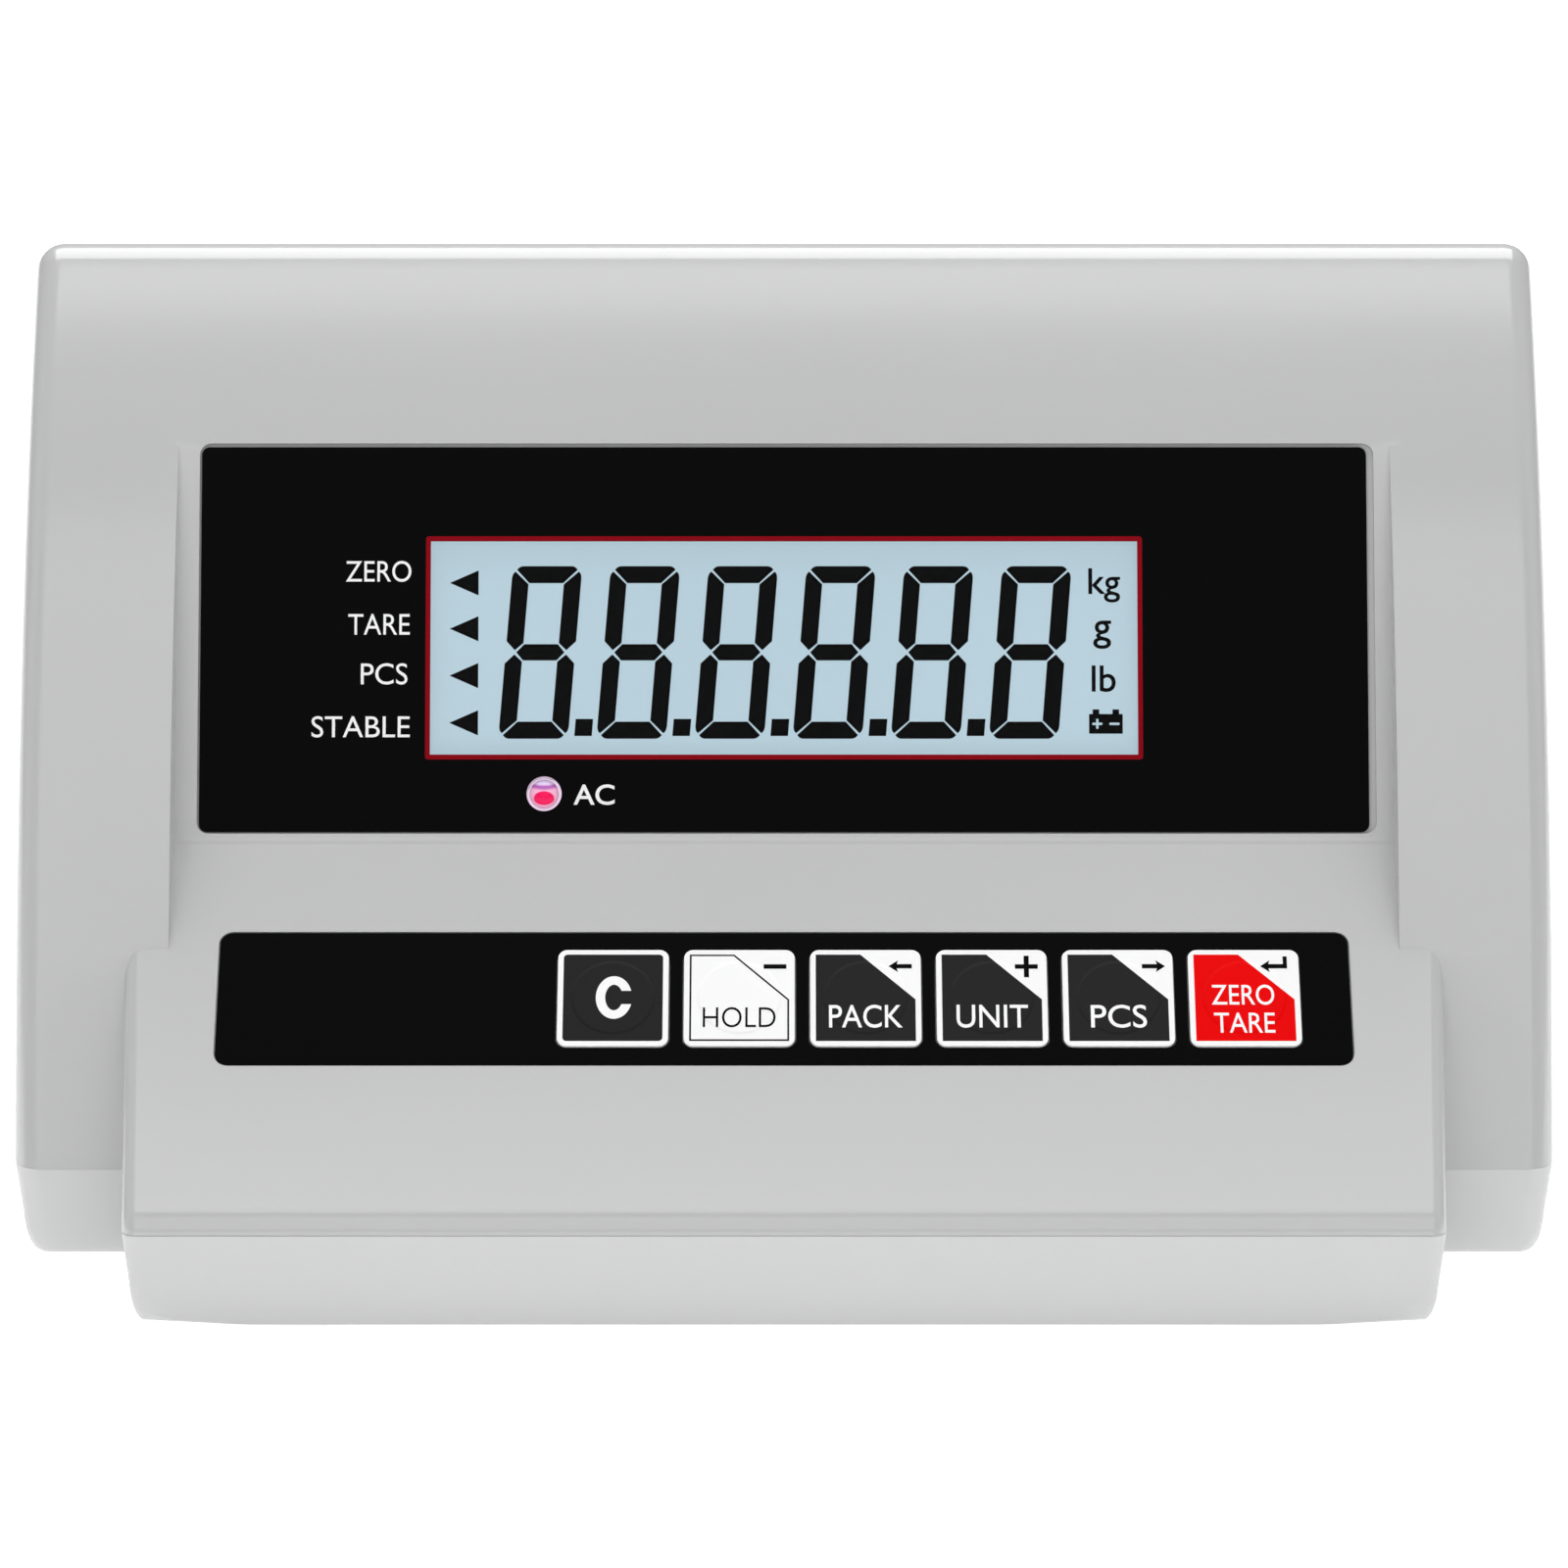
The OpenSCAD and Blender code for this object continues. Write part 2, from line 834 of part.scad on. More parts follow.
module battery_leads() {
    h = floor_z + battery[2];
    y = battery_at[1] - 12.5;
    color([0.75, 0.12, 0.12]) {
        lead([
            [22, y, h + 6.5], [22, y, h + 8], [24, y - 1, h + 9.5], [30, y - 2, h + 8.5],
            [37, y - 4, h + 2], [37, nose_y + 78.5, h - 10], [30, nose_y + 75, 34],
            [22, nose_y + 68, board_top + 12], [22, nose_y + 67, board_top + 8],
            [22, nose_y + 67, board_top + 6]
        ], 1.1);
        lead([
            [-90, y, h + 6.5], [-90, y, h + 9], [-84, y - 1, h + 12.5], [20, y - 1, h + 16],
            [40, y - 2, h + 9], [42, y - 4.5, h - 8], [36, nose_y + 77, 36],
            [26, nose_y + 73.5, 26], [18, nose_y + 71, board_top + 10],
            [18, nose_y + 67, board_top + 8], [18, nose_y + 67, board_top + 6]
        ], 1.1);
    }
}

module panel_leads() {
    color([0.2, 0.2, 0.22]) {
        lead([
            [socket_x, rear_y - 12, rear_z], [socket_x, rear_y - 20, rear_z],
            [socket_x - 3, rear_y - 36, 31], [34, nose_y + 71, board_top + 13],
            [31, nose_y + 67, board_top + 9], [31, nose_y + 67, board_top + 6]
        ], 2);
        lead([
            [inlet_x, rear_y - 14, rear_z], [inlet_x, rear_y - 22, rear_z],
            [inlet_x - 8, rear_y - 38, 31], [46, nose_y + 71, board_top + 13],
            [42, nose_y + 67, board_top + 9], [42, nose_y + 67, board_top + 6]
        ], 1.6);
        lead([
            [switch_x, rear_y - 25, rear_z], [switch_x, rear_y - 30, rear_z],
            [switch_x - 12, rear_y - 42, 31], [60, nose_y + 71, board_top + 12],
            [53, nose_y + 67, board_top + 9], [53, nose_y + 67, board_top + 6]
        ], 1.6);
    }
}

module socket_shell() {
    color([0.8, 0.8, 0.82])
        on_rear(socket_x)
            difference() {
                union() {
                    rod(8, -10, socket_out);
                    rod(10, 0, 2);
                }
                rod(6.2, -11, socket_out + 1);
            }
}

pins_at = [for (a = [45 : 90 : 315]) 3.4 * [cos(a), sin(a)]];

module socket_insert() {
    color([0.1, 0.1, 0.1])
        on_rear(socket_x)
            difference() {
                rod(6.15, -12, 0.6);
                at_each(pins_at)
                    rod(0.83, -13, 2);
            }
}

module socket_pins() {
    color([0.85, 0.7, 0.35])
        on_rear(socket_x)
            at_each(pins_at)
                rod(0.8, -12, 4.2);
}

module socket_nut() {
    color([0.8, 0.8, 0.82])
        on_rear(socket_x)
            difference() {
                translate([0, 0, -wall - 3])
                    cylinder(r = 11, h = 3, $fn = 6);
                rod(8.03, -wall - 4, 0);
            }
}

module power_inlet() {
    color([0.12, 0.12, 0.13])
        on_rear(inlet_x) {
            difference() {
                union() {
                    rod(4, -10, 2.6);
                    rod(5.8, 0, 1.6);
                }
                rod(2.9, -7, 3);
            }
            rod(1.05, -7.5, 1);
            for (x = [-2, 2])
                translate([x, 0, 0])
                    block(1, 2.4, 4.5, -14);
        }
}

module inlet_nut() {
    color([0.8, 0.8, 0.82])
        on_rear(inlet_x)
            difference() {
                translate([0, 0, -wall - 2.4])
                    cylinder(r = 6.4, h = 2.4, $fn = 6);
                rod(4.03, -wall - 3, 0);
            }
}

module rocker_frame() {
    color([0.1, 0.1, 0.1])
        on_rear(switch_x)
            difference() {
                union() {
                    plate(15, 21, 1.5, 0, 1.8);
                    block(12.6, 18.8, 17, -17);
                    for (y = [-6, 0, 6])
                        translate([0, y, 0])
                            block(4.8, 0.8, 8.5, -25);
                }
                block(10, 16.6, 10, -7);
                translate([0, 0, -1])
                    rotate([0, 90, 0])
                        rod(1.06, -6.1, 6.1);
            }
}

module rocker() {
    color([0.13, 0.13, 0.14])
        on_rear(switch_x)
            translate([0, 0, -1])
                rotate([-switch_tilt, 0, 0]) {
                    along_x(9.4)
                        polygon([
                            [-7.6, 3.6], [0, 2], [7.6, 3.6], [7.6, -0.5],
                            [3, -4], [-3, -4], [-7.6, -0.5]
                        ]);
                    rotate([0, 90, 0])
                        rod(1, -6, 6);
                }
}

upper_housing();
lower_housing();
rubber_feet();
case_screws();
bracket_inserts();
display_overlay();
display_lens();
lcd_glass();
lcd_backlight();
lcd_holder();
lcd_pins();
display_board();
display_screws();
mains_lamp();
display_header();
keypad_overlay();
key(0);  // key_clear
key(1);  // key_hold
key(2);  // key_pack
key(3);  // key_unit
key(4);  // key_count
key(5);  // key_zero
stem(0);  // stem_clear
stem(1);  // stem_hold
stem(2);  // stem_pack
stem(3);  // stem_unit
stem(4);  // stem_count
stem(5);  // stem_zero
switch_bodies();
switch_domes();
keypad_board();
keypad_screws();
keypad_header();
main_board();
main_screws();
processor();
converter_can();
capacitors();
regulator();
heat_sink();
buzzer();
wire_headers();
ribbon_headers();
display_ribbon();
keypad_ribbon();
battery_pack();
battery_tabs();
battery_strap();
strap_screws();
battery_leads();
panel_leads();
socket_shell();
socket_insert();
socket_pins();
socket_nut();
power_inlet();
inlet_nut();
rocker_frame();
rocker();
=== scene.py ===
# %% [markdown]
# # A bench weighing indicator with piece counting
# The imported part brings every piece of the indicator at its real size. This lesson gives the
# pieces their looks: soft moulded edges on the case, printed legends on the display and the keys,
# and a finish for every material. All lengths below are millimetres and are scaled on the way in.

import json
import math

import bmesh
import bpy
from mathutils import Matrix, Vector

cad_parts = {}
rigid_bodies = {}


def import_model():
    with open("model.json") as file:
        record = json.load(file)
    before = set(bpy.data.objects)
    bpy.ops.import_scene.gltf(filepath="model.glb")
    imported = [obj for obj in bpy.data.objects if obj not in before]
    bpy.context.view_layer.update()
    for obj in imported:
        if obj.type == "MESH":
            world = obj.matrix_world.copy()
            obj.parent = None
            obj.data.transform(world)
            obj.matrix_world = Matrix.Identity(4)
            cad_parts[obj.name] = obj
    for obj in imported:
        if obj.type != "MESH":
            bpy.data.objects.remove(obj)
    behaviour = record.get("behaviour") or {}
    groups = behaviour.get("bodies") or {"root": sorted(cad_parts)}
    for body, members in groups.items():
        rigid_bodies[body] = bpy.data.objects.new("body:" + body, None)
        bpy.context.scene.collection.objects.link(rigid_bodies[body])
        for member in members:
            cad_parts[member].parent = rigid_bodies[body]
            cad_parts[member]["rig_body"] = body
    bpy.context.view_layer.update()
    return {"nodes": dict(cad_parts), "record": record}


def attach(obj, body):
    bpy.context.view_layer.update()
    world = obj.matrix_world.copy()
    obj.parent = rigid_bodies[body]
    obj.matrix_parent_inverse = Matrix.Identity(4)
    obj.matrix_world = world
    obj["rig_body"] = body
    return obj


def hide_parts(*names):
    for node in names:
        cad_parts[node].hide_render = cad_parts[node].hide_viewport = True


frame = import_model()
mm = 0.001

# %% [markdown]
# ## Camera
# The front was seen from a metre away, twenty degrees above the table, straight from the front.
# A long lens keeps the cheeks of the case nearly parallel, as they look in the picture.

# %% Camera
looked_at = Vector((0, -6.9, 65.45)) * mm
lift = math.radians(20)
bpy.ops.object.camera_add(
    location=looked_at + Vector((0, -math.cos(lift), math.sin(lift))),
    rotation=(math.pi / 2 - lift, 0, 0),
)
camera = bpy.context.object
camera.data.sensor_width = 36
camera.data.lens = 151.8
bpy.context.scene.camera = camera
print("camera at", tuple(round(x, 3) for x in camera.location))

# %% [markdown]
# ## Floor and lights
# The pale floor glows a little, so it stays white in the picture and lights the lower half of the
# case. One wide lamp hangs overhead and a little behind and draws the bright line along the top
# edge. A large lamp in front fills the cheeks, a narrow strip high in front brightens the forehead
# and the slope under the keys, and two weak lamps stand at the sides. Places and sizes of the
# lamps are metres.

# %% Floor and lights
floor_size, sky = 9, 0.22
bpy.ops.mesh.primitive_plane_add(size=floor_size)
floor = bpy.context.object
floor.name = "floor"


def lamp(name, place, aim, width, height, watts):
    turn = (Vector(aim) - Vector(place)).to_track_quat("-Z", "Y").to_euler()
    bpy.ops.object.light_add(type="AREA", location=place, rotation=turn)
    light = bpy.context.object
    light.name = name
    light.data.shape = "RECTANGLE"
    light.data.size = width
    light.data.size_y = height
    light.data.energy = watts


lamp("overhead", (0, 0.41, 1.02), (0, 0.34, 0.1), 1.2, 0.96, 13.0)
lamp("front", (0, -1.23, 0.91), (0, 0, 0.05), 1.7, 1.3, 5.2)
lamp("strip", (0, -0.35, 1.51), (0, 0, 0.05), 1.1, 0.13, 0.8)
for side in (-1, 1):
    lamp("side", (side * 1.1, -0.1, 0.45), (0, 0, 0.06), 0.5, 0.8, 0.3)
world = bpy.data.worlds.new("studio")
bpy.context.scene.world = world
world.use_nodes = True
background = world.node_tree.nodes["Background"]
background.inputs["Color"].default_value = (1, 1, 1, 1)
background.inputs["Strength"].default_value = sky
bpy.context.scene.view_settings.view_transform = "Standard"

# %% [markdown]
# ## Writing finishes as expressions
# A finish is a Principled shader with a few patterns in front of it. `Wire` is one output in the
# node tree: adding or multiplying wires adds Math nodes. `Finish.node` makes any other node from
# its type, its settings and what goes into its sockets.

# %% Wire and Finish


class Wire:
    def __init__(self, finish, socket):
        self.finish = finish
        self.socket = socket

    def sum(self, operation, first, second):
        return self.finish.node("ShaderNodeMath", {"operation": operation}, {0: first, 1: second})

    def __add__(self, other):
        return self.sum("ADD", self, other)

    def __sub__(self, other):
        return self.sum("SUBTRACT", self, other)

    def __mul__(self, other):
        return self.sum("MULTIPLY", self, other)

    def __lt__(self, other):
        return self.sum("LESS_THAN", self, other)

    __radd__ = __add__
    __rmul__ = __mul__


class Finish:
    def __init__(self, name, color, roughness, constants=None):
        self.material = bpy.data.materials.new(name)
        self.material.use_nodes = True
        self.tree = self.material.node_tree
        self.shader = self.tree.nodes["Principled BSDF"]
        self.put("Base Color", (*color, 1))
        self.put("Roughness", roughness)
        for socket, value in (constants or {}).items():
            self.put(socket, value)

    def join(self, socket, value):
        if isinstance(value, Wire):
            self.tree.links.new(value.socket, socket)
        else:
            socket.default_value = value

    def put(self, socket, value):
        self.join(self.shader.inputs[socket], value)

    def node(self, kind, settings=None, sockets=None, out=0):
        made = self.tree.nodes.new(kind)
        for name, value in (settings or {}).items():
            setattr(made, name, value)
        for name, value in (sockets or {}).items():
            self.join(made.inputs[name], value)
        return Wire(self, made.outputs[out])

    def place(self, middle=(0, 0, 0), turn=(0, 0, 0), scale=(1, 1, 1)):
        spot = self.node("ShaderNodeTexCoord", out="Object")
        return self.node(
            "ShaderNodeMapping",
            {"vector_type": "TEXTURE"},
            {"Vector": spot, "Location": middle, "Rotation": turn, "Scale": scale},
        )

    def noise(self, scale, detail=3.0, place=None):
        sockets = {"Vector": place or self.place(), "Scale": scale, "Detail": detail}
        return self.node("ShaderNodeTexNoise", None, sockets, "Fac")

    def mix(self, share, first, second):
        sockets = {0: share, 6: (*first, 1) if isinstance(first, tuple) else first}
        sockets[7] = (*second, 1) if isinstance(second, tuple) else second
        return self.node("ShaderNodeMix", {"data_type": "RGBA"}, sockets, 2)

    def slope(self, value, low, high):
        sockets = {"Value": value, "From Min": low, "From Max": high, "To Min": 0.0, "To Max": 1.0}
        return self.node("ShaderNodeMapRange", {"clamp": True}, sockets)

    def axes(self, spot):
        split = self.node("ShaderNodeSeparateXYZ", None, {0: spot}).socket.node
        return [Wire(self, socket) for socket in split.outputs]

    def bump(self, height, depth):
        sockets = {"Height": height, "Distance": depth, "Strength": 1.0}
        self.put("Normal", self.node("ShaderNodeBump", None, sockets, "Normal"))


print("finishes are written with Wire and Finish")

# %% [markdown]
# ## Where things lie
# The display and the keypad lean back from upright. Each gets a frame of its own, with its origin
# on the crease between the two: x across, y up the slope, z out of it. The middles of the display
# film, the glass, the lamp and the row of keys are given in these frames.

# %% Frames
panel_lean = math.radians(26)
pad_lean = math.radians(52)
crease_y, crease_z = -13.2, 58.6
crease = Vector((0, crease_y, crease_z)) * mm
on_panel = Matrix.Translation(crease) @ Matrix.Rotation(math.pi / 2 - panel_lean, 4, "X")
on_pad = Matrix.Translation(crease) @ Matrix.Rotation(math.pi / 2 - pad_lean, 4, "X")
panel_y, glass_y = 30.7, 29.2
lamp_x, lamp_y = -36.2, 7.2
first_x, key_pitch, key_y = -25.4, 18.76, -27.4
lamp_spot = on_panel @ Vector((lamp_x * mm, lamp_y * mm, 0))
first_key = on_pad @ Vector((first_x * mm, key_y * mm, 0))
print("lamp at", tuple(round(x, 4) for x in lamp_spot))

# %% [markdown]
# ## Moulded plastics, films and rubber
# Moulded ABS is never one flat colour: it drifts a little in tone over the hand's width, and its
# spark-eroded grain breaks up the gloss. The same recipe with other numbers gives the printed
# films, the black connector plastics and the rubber of the feet. The keys also show a faint ring
# over the edge of the snap dome below them.

# %% Plastics
dome_outer, dome_inner, dome_step = 6.3, 5.9, 0.0001


def moulded(
    name, color, roughness, grain=0.00002, size=1700.0, drift=0.03, constants=None, dome=False
):
    made = Finish(name, color, roughness, constants)
    slow = made.noise(14.0, 2.0)
    fine = made.noise(size, 2.0)
    shade = tuple(c * (1 - drift) for c in color)
    light = tuple(min(1.0, c * (1 + drift)) for c in color)
    made.put("Base Color", made.mix(slow, shade, light))
    made.put("Roughness", roughness - 0.05 + 0.06 * slow + 0.05 * fine)
    if dome:
        turn = (math.pi / 2 - pad_lean, 0, 0)
        x, y, _ = made.axes(made.place(tuple(first_key), turn, (mm, mm, mm)))
        ends = {0: x, 1: -key_pitch / 2, 2: key_pitch / 2}
        x = made.node("ShaderNodeMath", {"operation": "WRAP"}, ends)
        out = made.node("ShaderNodeMath", {"operation": "SQRT"}, {0: x * x + y * y})
        fine = fine * 0.1 + made.slope(out, dome_outer, dome_inner)
        grain = dome_step
    made.bump(fine, grain)
    return made.material


matt, dull, glossy = ({"Specular IOR Level": level} for level in (0.03, 0.06, 1.0))
# name: colour, roughness, depth of the grain in metres, its scale, drift of the tone
plastics = {
    "case_grey": ((0.563, 0.565, 0.568), 0.15, 0.000006, 2200.0, 0.012, glossy),
    # tray_grey is set a shade lighter than case_grey: partly a lighter moulding, partly painted
    # light bounced up from the floor onto the lower half
    "tray_grey": ((0.59, 0.592, 0.595), 0.2, 0.000008, 2200.0, 0.012),
    "foot_rubber": ((0.028, 0.028, 0.028), 0.8, 0.00006, 900.0, 0.2),
    "panel_black": ((0.0022, 0.0022, 0.0023), 0.3, 0.000004, 2600.0, 0.15, matt),
    "film_black": ((0.0006, 0.0006, 0.0007), 0.5, 0.000006, 2600.0, 0.15, matt),
    "white_plastic": ((0.82, 0.83, 0.82), 0.4),
    "black_plastic": ((0.018, 0.018, 0.019), 0.42, 0.00002, 1500.0, 0.12),
    "cream_plastic": ((0.72, 0.69, 0.58), 0.45),
    "chip_black": ((0.015, 0.015, 0.016), 0.55, 0.00002, 2500.0, 0.1),
    "battery_dark": ((0.035, 0.037, 0.045), 0.4, 0.00003, 1100.0, 0.1),
    "switch_black": ((0.012, 0.012, 0.013), 0.3, 0.000015, 1500.0, 0.1),
    "rocker_black": ((0.016, 0.016, 0.018), 0.22, 0.000006, 1500.0, 0.1),
    "key_grey": ((0.0165, 0.0165, 0.0175), 0.45, 0.000012, 3000.0, 0.12, dull, True),
    "key_white": ((0.98, 0.98, 0.98), 0.42, 0.000006, 3000.0, 0.01, None, True),
    "key_red": ((0.86, 0.0008, 0.0014), 0.45, 0.000008, 3000.0, 0.06, matt, True),
    "ribbon_grey": ((0.3, 0.31, 0.33), 0.45),
    "lead_red": ((0.45, 0.015, 0.015), 0.4),
    "lead_black": ((0.012, 0.012, 0.012), 0.4),
    "capacitor_blue": ((0.02, 0.03, 0.12), 0.3),
}
finishes = {name: moulded(name, *numbers) for name, numbers in plastics.items()}
print("plastics:", len(finishes))

# %% [markdown]
# ## Metals
# Plated steel, brass and aluminium share one recipe: a metallic base with fine lines left by the
# tool, stretched along one axis, and a slightly duller film where hands and air have been.

# %% Metals


def metal(name, color, roughness, lines=(1, 1, 12), drift=0.08):
    made = Finish(name, color, roughness, {"Metallic": 1.0})
    cloud = made.noise(90.0, 3.0)
    scratch = made.noise(700.0, 4.0, made.place(scale=lines))
    made.put("Base Color", made.mix(cloud, tuple(c * (1 - drift) for c in color), color))
    made.put("Roughness", roughness - 0.06 + 0.1 * scratch + 0.05 * cloud)
    made.bump(scratch, 0.00001)
    return made.material


finishes["zinc_steel"] = metal("zinc_steel", (0.62, 0.63, 0.66), 0.34)
finishes["tinned_metal"] = metal("tinned_metal", (0.66, 0.66, 0.64), 0.3)
finishes["brass"] = metal("brass", (0.72, 0.5, 0.2), 0.28)
finishes["bare_aluminium"] = metal("bare_aluminium", (0.7, 0.71, 0.73), 0.38, (12, 1, 1))
finishes["socket_chrome"] = metal("socket_chrome", (0.74, 0.74, 0.76), 0.16, (1, 12, 1), 0.05)
print("finishes:", len(finishes))

# %% [markdown]
# ## Circuit board, glass and lamp
# The boards carry a pattern of tracks under green mask. The LCD is a pale blue-grey field, a little
# uneven where the backlight sits behind it. The lens over it is nearly clear. The lamp is a pink
# lens with a pale rim, a violet band and a red die low in its middle.

# %% Board, glass and lamp


def board():
    made = Finish("board_green", (0.012, 0.11, 0.045), 0.4)
    cells = made.node(
        "ShaderNodeTexVoronoi",
        {"distance": "CHEBYCHEV", "feature": "F1"},
        {"Vector": made.place(), "Scale": 320.0},
        "Distance",
    )
    track = cells < 0.28
    made.put("Base Color", made.mix(track, (0.01, 0.09, 0.035), (0.03, 0.2, 0.085)))
    made.bump(track, 0.00003)
    return made.material


def lcd_face():
    constants = {"Emission Strength": 0.83, "Specular IOR Level": 0.1}
    made = Finish("lcd_face", (0.1, 0.13, 0.15), 0.35, constants)
    glow = made.noise(16.0, 1.0)
    made.put("Base Color", made.mix(glow, (0.13, 0.17, 0.19), (0.145, 0.19, 0.21)))
    made.put("Emission Color", made.mix(glow, (0.425, 0.56, 0.635), (0.455, 0.595, 0.675)))
    made.bump(made.noise(2800.0, 1.0), 0.000003)
    return made.material


def clear_lens():
    constants = {"Alpha": 0.004, "Specular IOR Level": 0.2}
    made = Finish("clear_lens", (0.5, 0.53, 0.55), 0.06, constants)
    smear = made.noise(60.0, 3.0)
    made.put("Roughness", 0.04 + 0.06 * smear)
    return made.material


def lamp_lens():
    constants = {"Emission Strength": 0.6, "Specular IOR Level": 0.15}
    made = Finish("lamp_red", (0.6, 0.25, 0.4), 0.12, constants)
    turn = (math.pi / 2 - panel_lean, 0, 0)
    x, y, _ = made.axes(made.place(tuple(lamp_spot), turn, (mm, mm, mm)))
    rim = made.slope(x * x + y * y, 4.6, 5.1)
    die = made.slope(x * x * 0.42 + (y + 0.72) * (y + 0.72), 0.9, 1.15)
    curve = y - 0.12 * x * x
    band = made.slope(curve, 0.3, 0.75) * made.slope(curve, 1.35, 1.05)
    crown = made.mix(made.slope(y, 0.8, 1.3), (0.67, 0.33, 0.47), (0.5, 0.4, 0.58))
    core = made.mix(die, (0.66, 0.006, 0.08), made.mix(band, crown, (0.34, 0.1, 0.34)))
    tint = made.mix(rim, core, (0.86, 0.7, 0.86))
    made.put("Base Color", tint)
    made.put("Emission Color", tint)
    return made.material


finishes["board_green"] = board()
finishes["lcd_face"] = lcd_face()
finishes["clear_lens"] = clear_lens()
finishes["lamp_red"] = lamp_lens()
pale = Finish("floor_pale", (0.97, 0.97, 0.97), 0.9, {"Emission Strength": 1.0})
pale.put("Base Color", pale.mix(pale.noise(2.0), (0.96, 0.96, 0.96), (0.98, 0.98, 0.98)))
across, away, _ = pale.axes(pale.place())
far = pale.slope(across * across + away * away, 0.5, 2.5)
pale.put("Emission Color", pale.mix(far, (0.55, 0.55, 0.55), (0.7, 0.7, 0.7)))
floor.data.materials.append(pale.material)
print("finishes:", len(finishes))

# %% [markdown]
# ## Dressing the nodes that keep their shape
# Every node of the part first gets the finish of its own material slot. Pieces that are remodelled
# further down hide their node later.

# %% Finishes on the nodes
slot_of = {row["node"]: row["material_slot"] for row in frame["record"]["subparts"]}
for name, node in frame["nodes"].items():
    node.data.materials.clear()
    node.data.materials.append(finishes[slot_of[name]])
print("dressed:", len(slot_of))

# %% [markdown]
# ## Tools of the bench
# Everything below is modelled with a handful of steps: an outline drawn from a ring of vertices
# and extruded into a slab, a boolean cut, edges picked by their place and rounded off, and the
# last step that hands a piece to its body.

# %% Tools


def clear():
    if bpy.context.mode != "OBJECT":
        bpy.ops.object.mode_set(mode="OBJECT")
    bpy.ops.object.select_all(action="DESELECT")


def only(piece):
    clear()
    piece.select_set(True)
    bpy.context.view_layer.objects.active = piece


def settle(piece, place):
    only(piece)
    piece.matrix_world = place
    bpy.ops.object.transform_apply(location=True, rotation=True, scale=True)
    return piece


def slab(name, corners, low, high, place=Matrix.Identity(4)):
    clear()
    bpy.ops.mesh.primitive_circle_add(vertices=len(corners), radius=mm, fill_type="NGON")
    piece = bpy.context.object
    piece.name = name
    for vertex, (x, y) in zip(piece.data.vertices, corners):
        vertex.co = (x * mm, y * mm, low * mm)
    rise = {"value": (0, 0, (high - low) * mm)}
    bpy.ops.object.mode_set(mode="EDIT")
    bpy.ops.mesh.select_all(action="SELECT")
    bpy.ops.mesh.extrude_region_move(TRANSFORM_OT_translate=rise)
    bpy.ops.mesh.select_all(action="SELECT")
    bpy.ops.mesh.normals_make_consistent(inside=False)
    return settle(piece, place)


def disc(name, x, y, r, low, high, place=Matrix.Identity(4), sides=64):
    turn = [2 * math.pi * k / sides for k in range(sides)]
    ring = [(x + r * math.cos(a), y + r * math.sin(a)) for a in turn]
    return slab(name, ring, low, high, place)


def rounded(w, h, r, x=0.0, y=0.0, steps=6):
    ring = []
    for quarter, (sx, sy) in enumerate(((1, 1), (-1, 1), (-1, -1), (1, -1))):
        for k in range(steps + 1):
            a = math.pi / 2 * (quarter + k / steps)
            cx, cy = x + sx * (w / 2 - r), y + sy * (h / 2 - r)
            ring.append((cx + r * math.cos(a), cy + r * math.sin(a)))
    return ring


def joined(name, pieces):
    pieces[0].name = name
    if len(pieces) == 1:
        return pieces[0]
    clear()
    for piece in pieces:
        piece.select_set(True)
    bpy.context.view_layer.objects.active = pieces[0]
    bpy.ops.object.join()
    return pieces[0]


def carve(piece, tool, how="DIFFERENCE"):
    only(piece)
    cut = piece.modifiers.new("cut", "BOOLEAN")
    cut.operation = how
    cut.solver = "EXACT"
    cut.object = tool
    bpy.ops.object.modifier_apply(modifier=cut.name)
    bpy.data.objects.remove(tool)
    return piece


def choose(piece, kind, test):
    only(piece)
    bpy.ops.object.mode_set(mode="EDIT")
    bpy.ops.mesh.select_mode(type=kind)
    bpy.ops.mesh.select_all(action="DESELECT")
    mesh = bmesh.from_edit_mesh(piece.data)
    found = [e for e in (mesh.edges if kind == "EDGE" else mesh.faces) if test(e)]
    for element in found:
        element.select_set(True)
    bmesh.update_edit_mesh(piece.data)
    return len(found)


def round_off(piece, test, width, steps):
    count = choose(piece, "EDGE", test)
    if count:
        bpy.ops.mesh.bevel(offset=width * mm, segments=steps, affect="EDGES", clamp_overlap=False)
    clear()
    print(piece.name, "edges rounded:", count)


def smooth(piece, angle=32):
    only(piece)
    bpy.ops.object.shade_smooth_by_angle(angle=math.radians(angle))
    weigh = piece.modifiers.new("weigh", "WEIGHTED_NORMAL")
    weigh.keep_sharp = True
    bpy.ops.object.modifier_apply(modifier=weigh.name)


def hand_over(piece, body, slot, *nodes, finish=None):
    piece.data.materials.clear()
    piece.data.materials.append(finish or finishes[slot])
    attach(piece, body)
    if nodes:
        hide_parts(*nodes)
    return piece


print("tools ready")

# %% [markdown]
# ## The side outline of the case
# Seen from the side, the case is a wedge: a front bent on a large radius, a small round top edge
# and a rear wall that stands upright and then leans forward. The nose under the keypad runs down
# the slope, turns slowly at first and then faster towards the seam. The outlines are worked out
# once, and drawn again a wall's thickness smaller for the hollow inside.

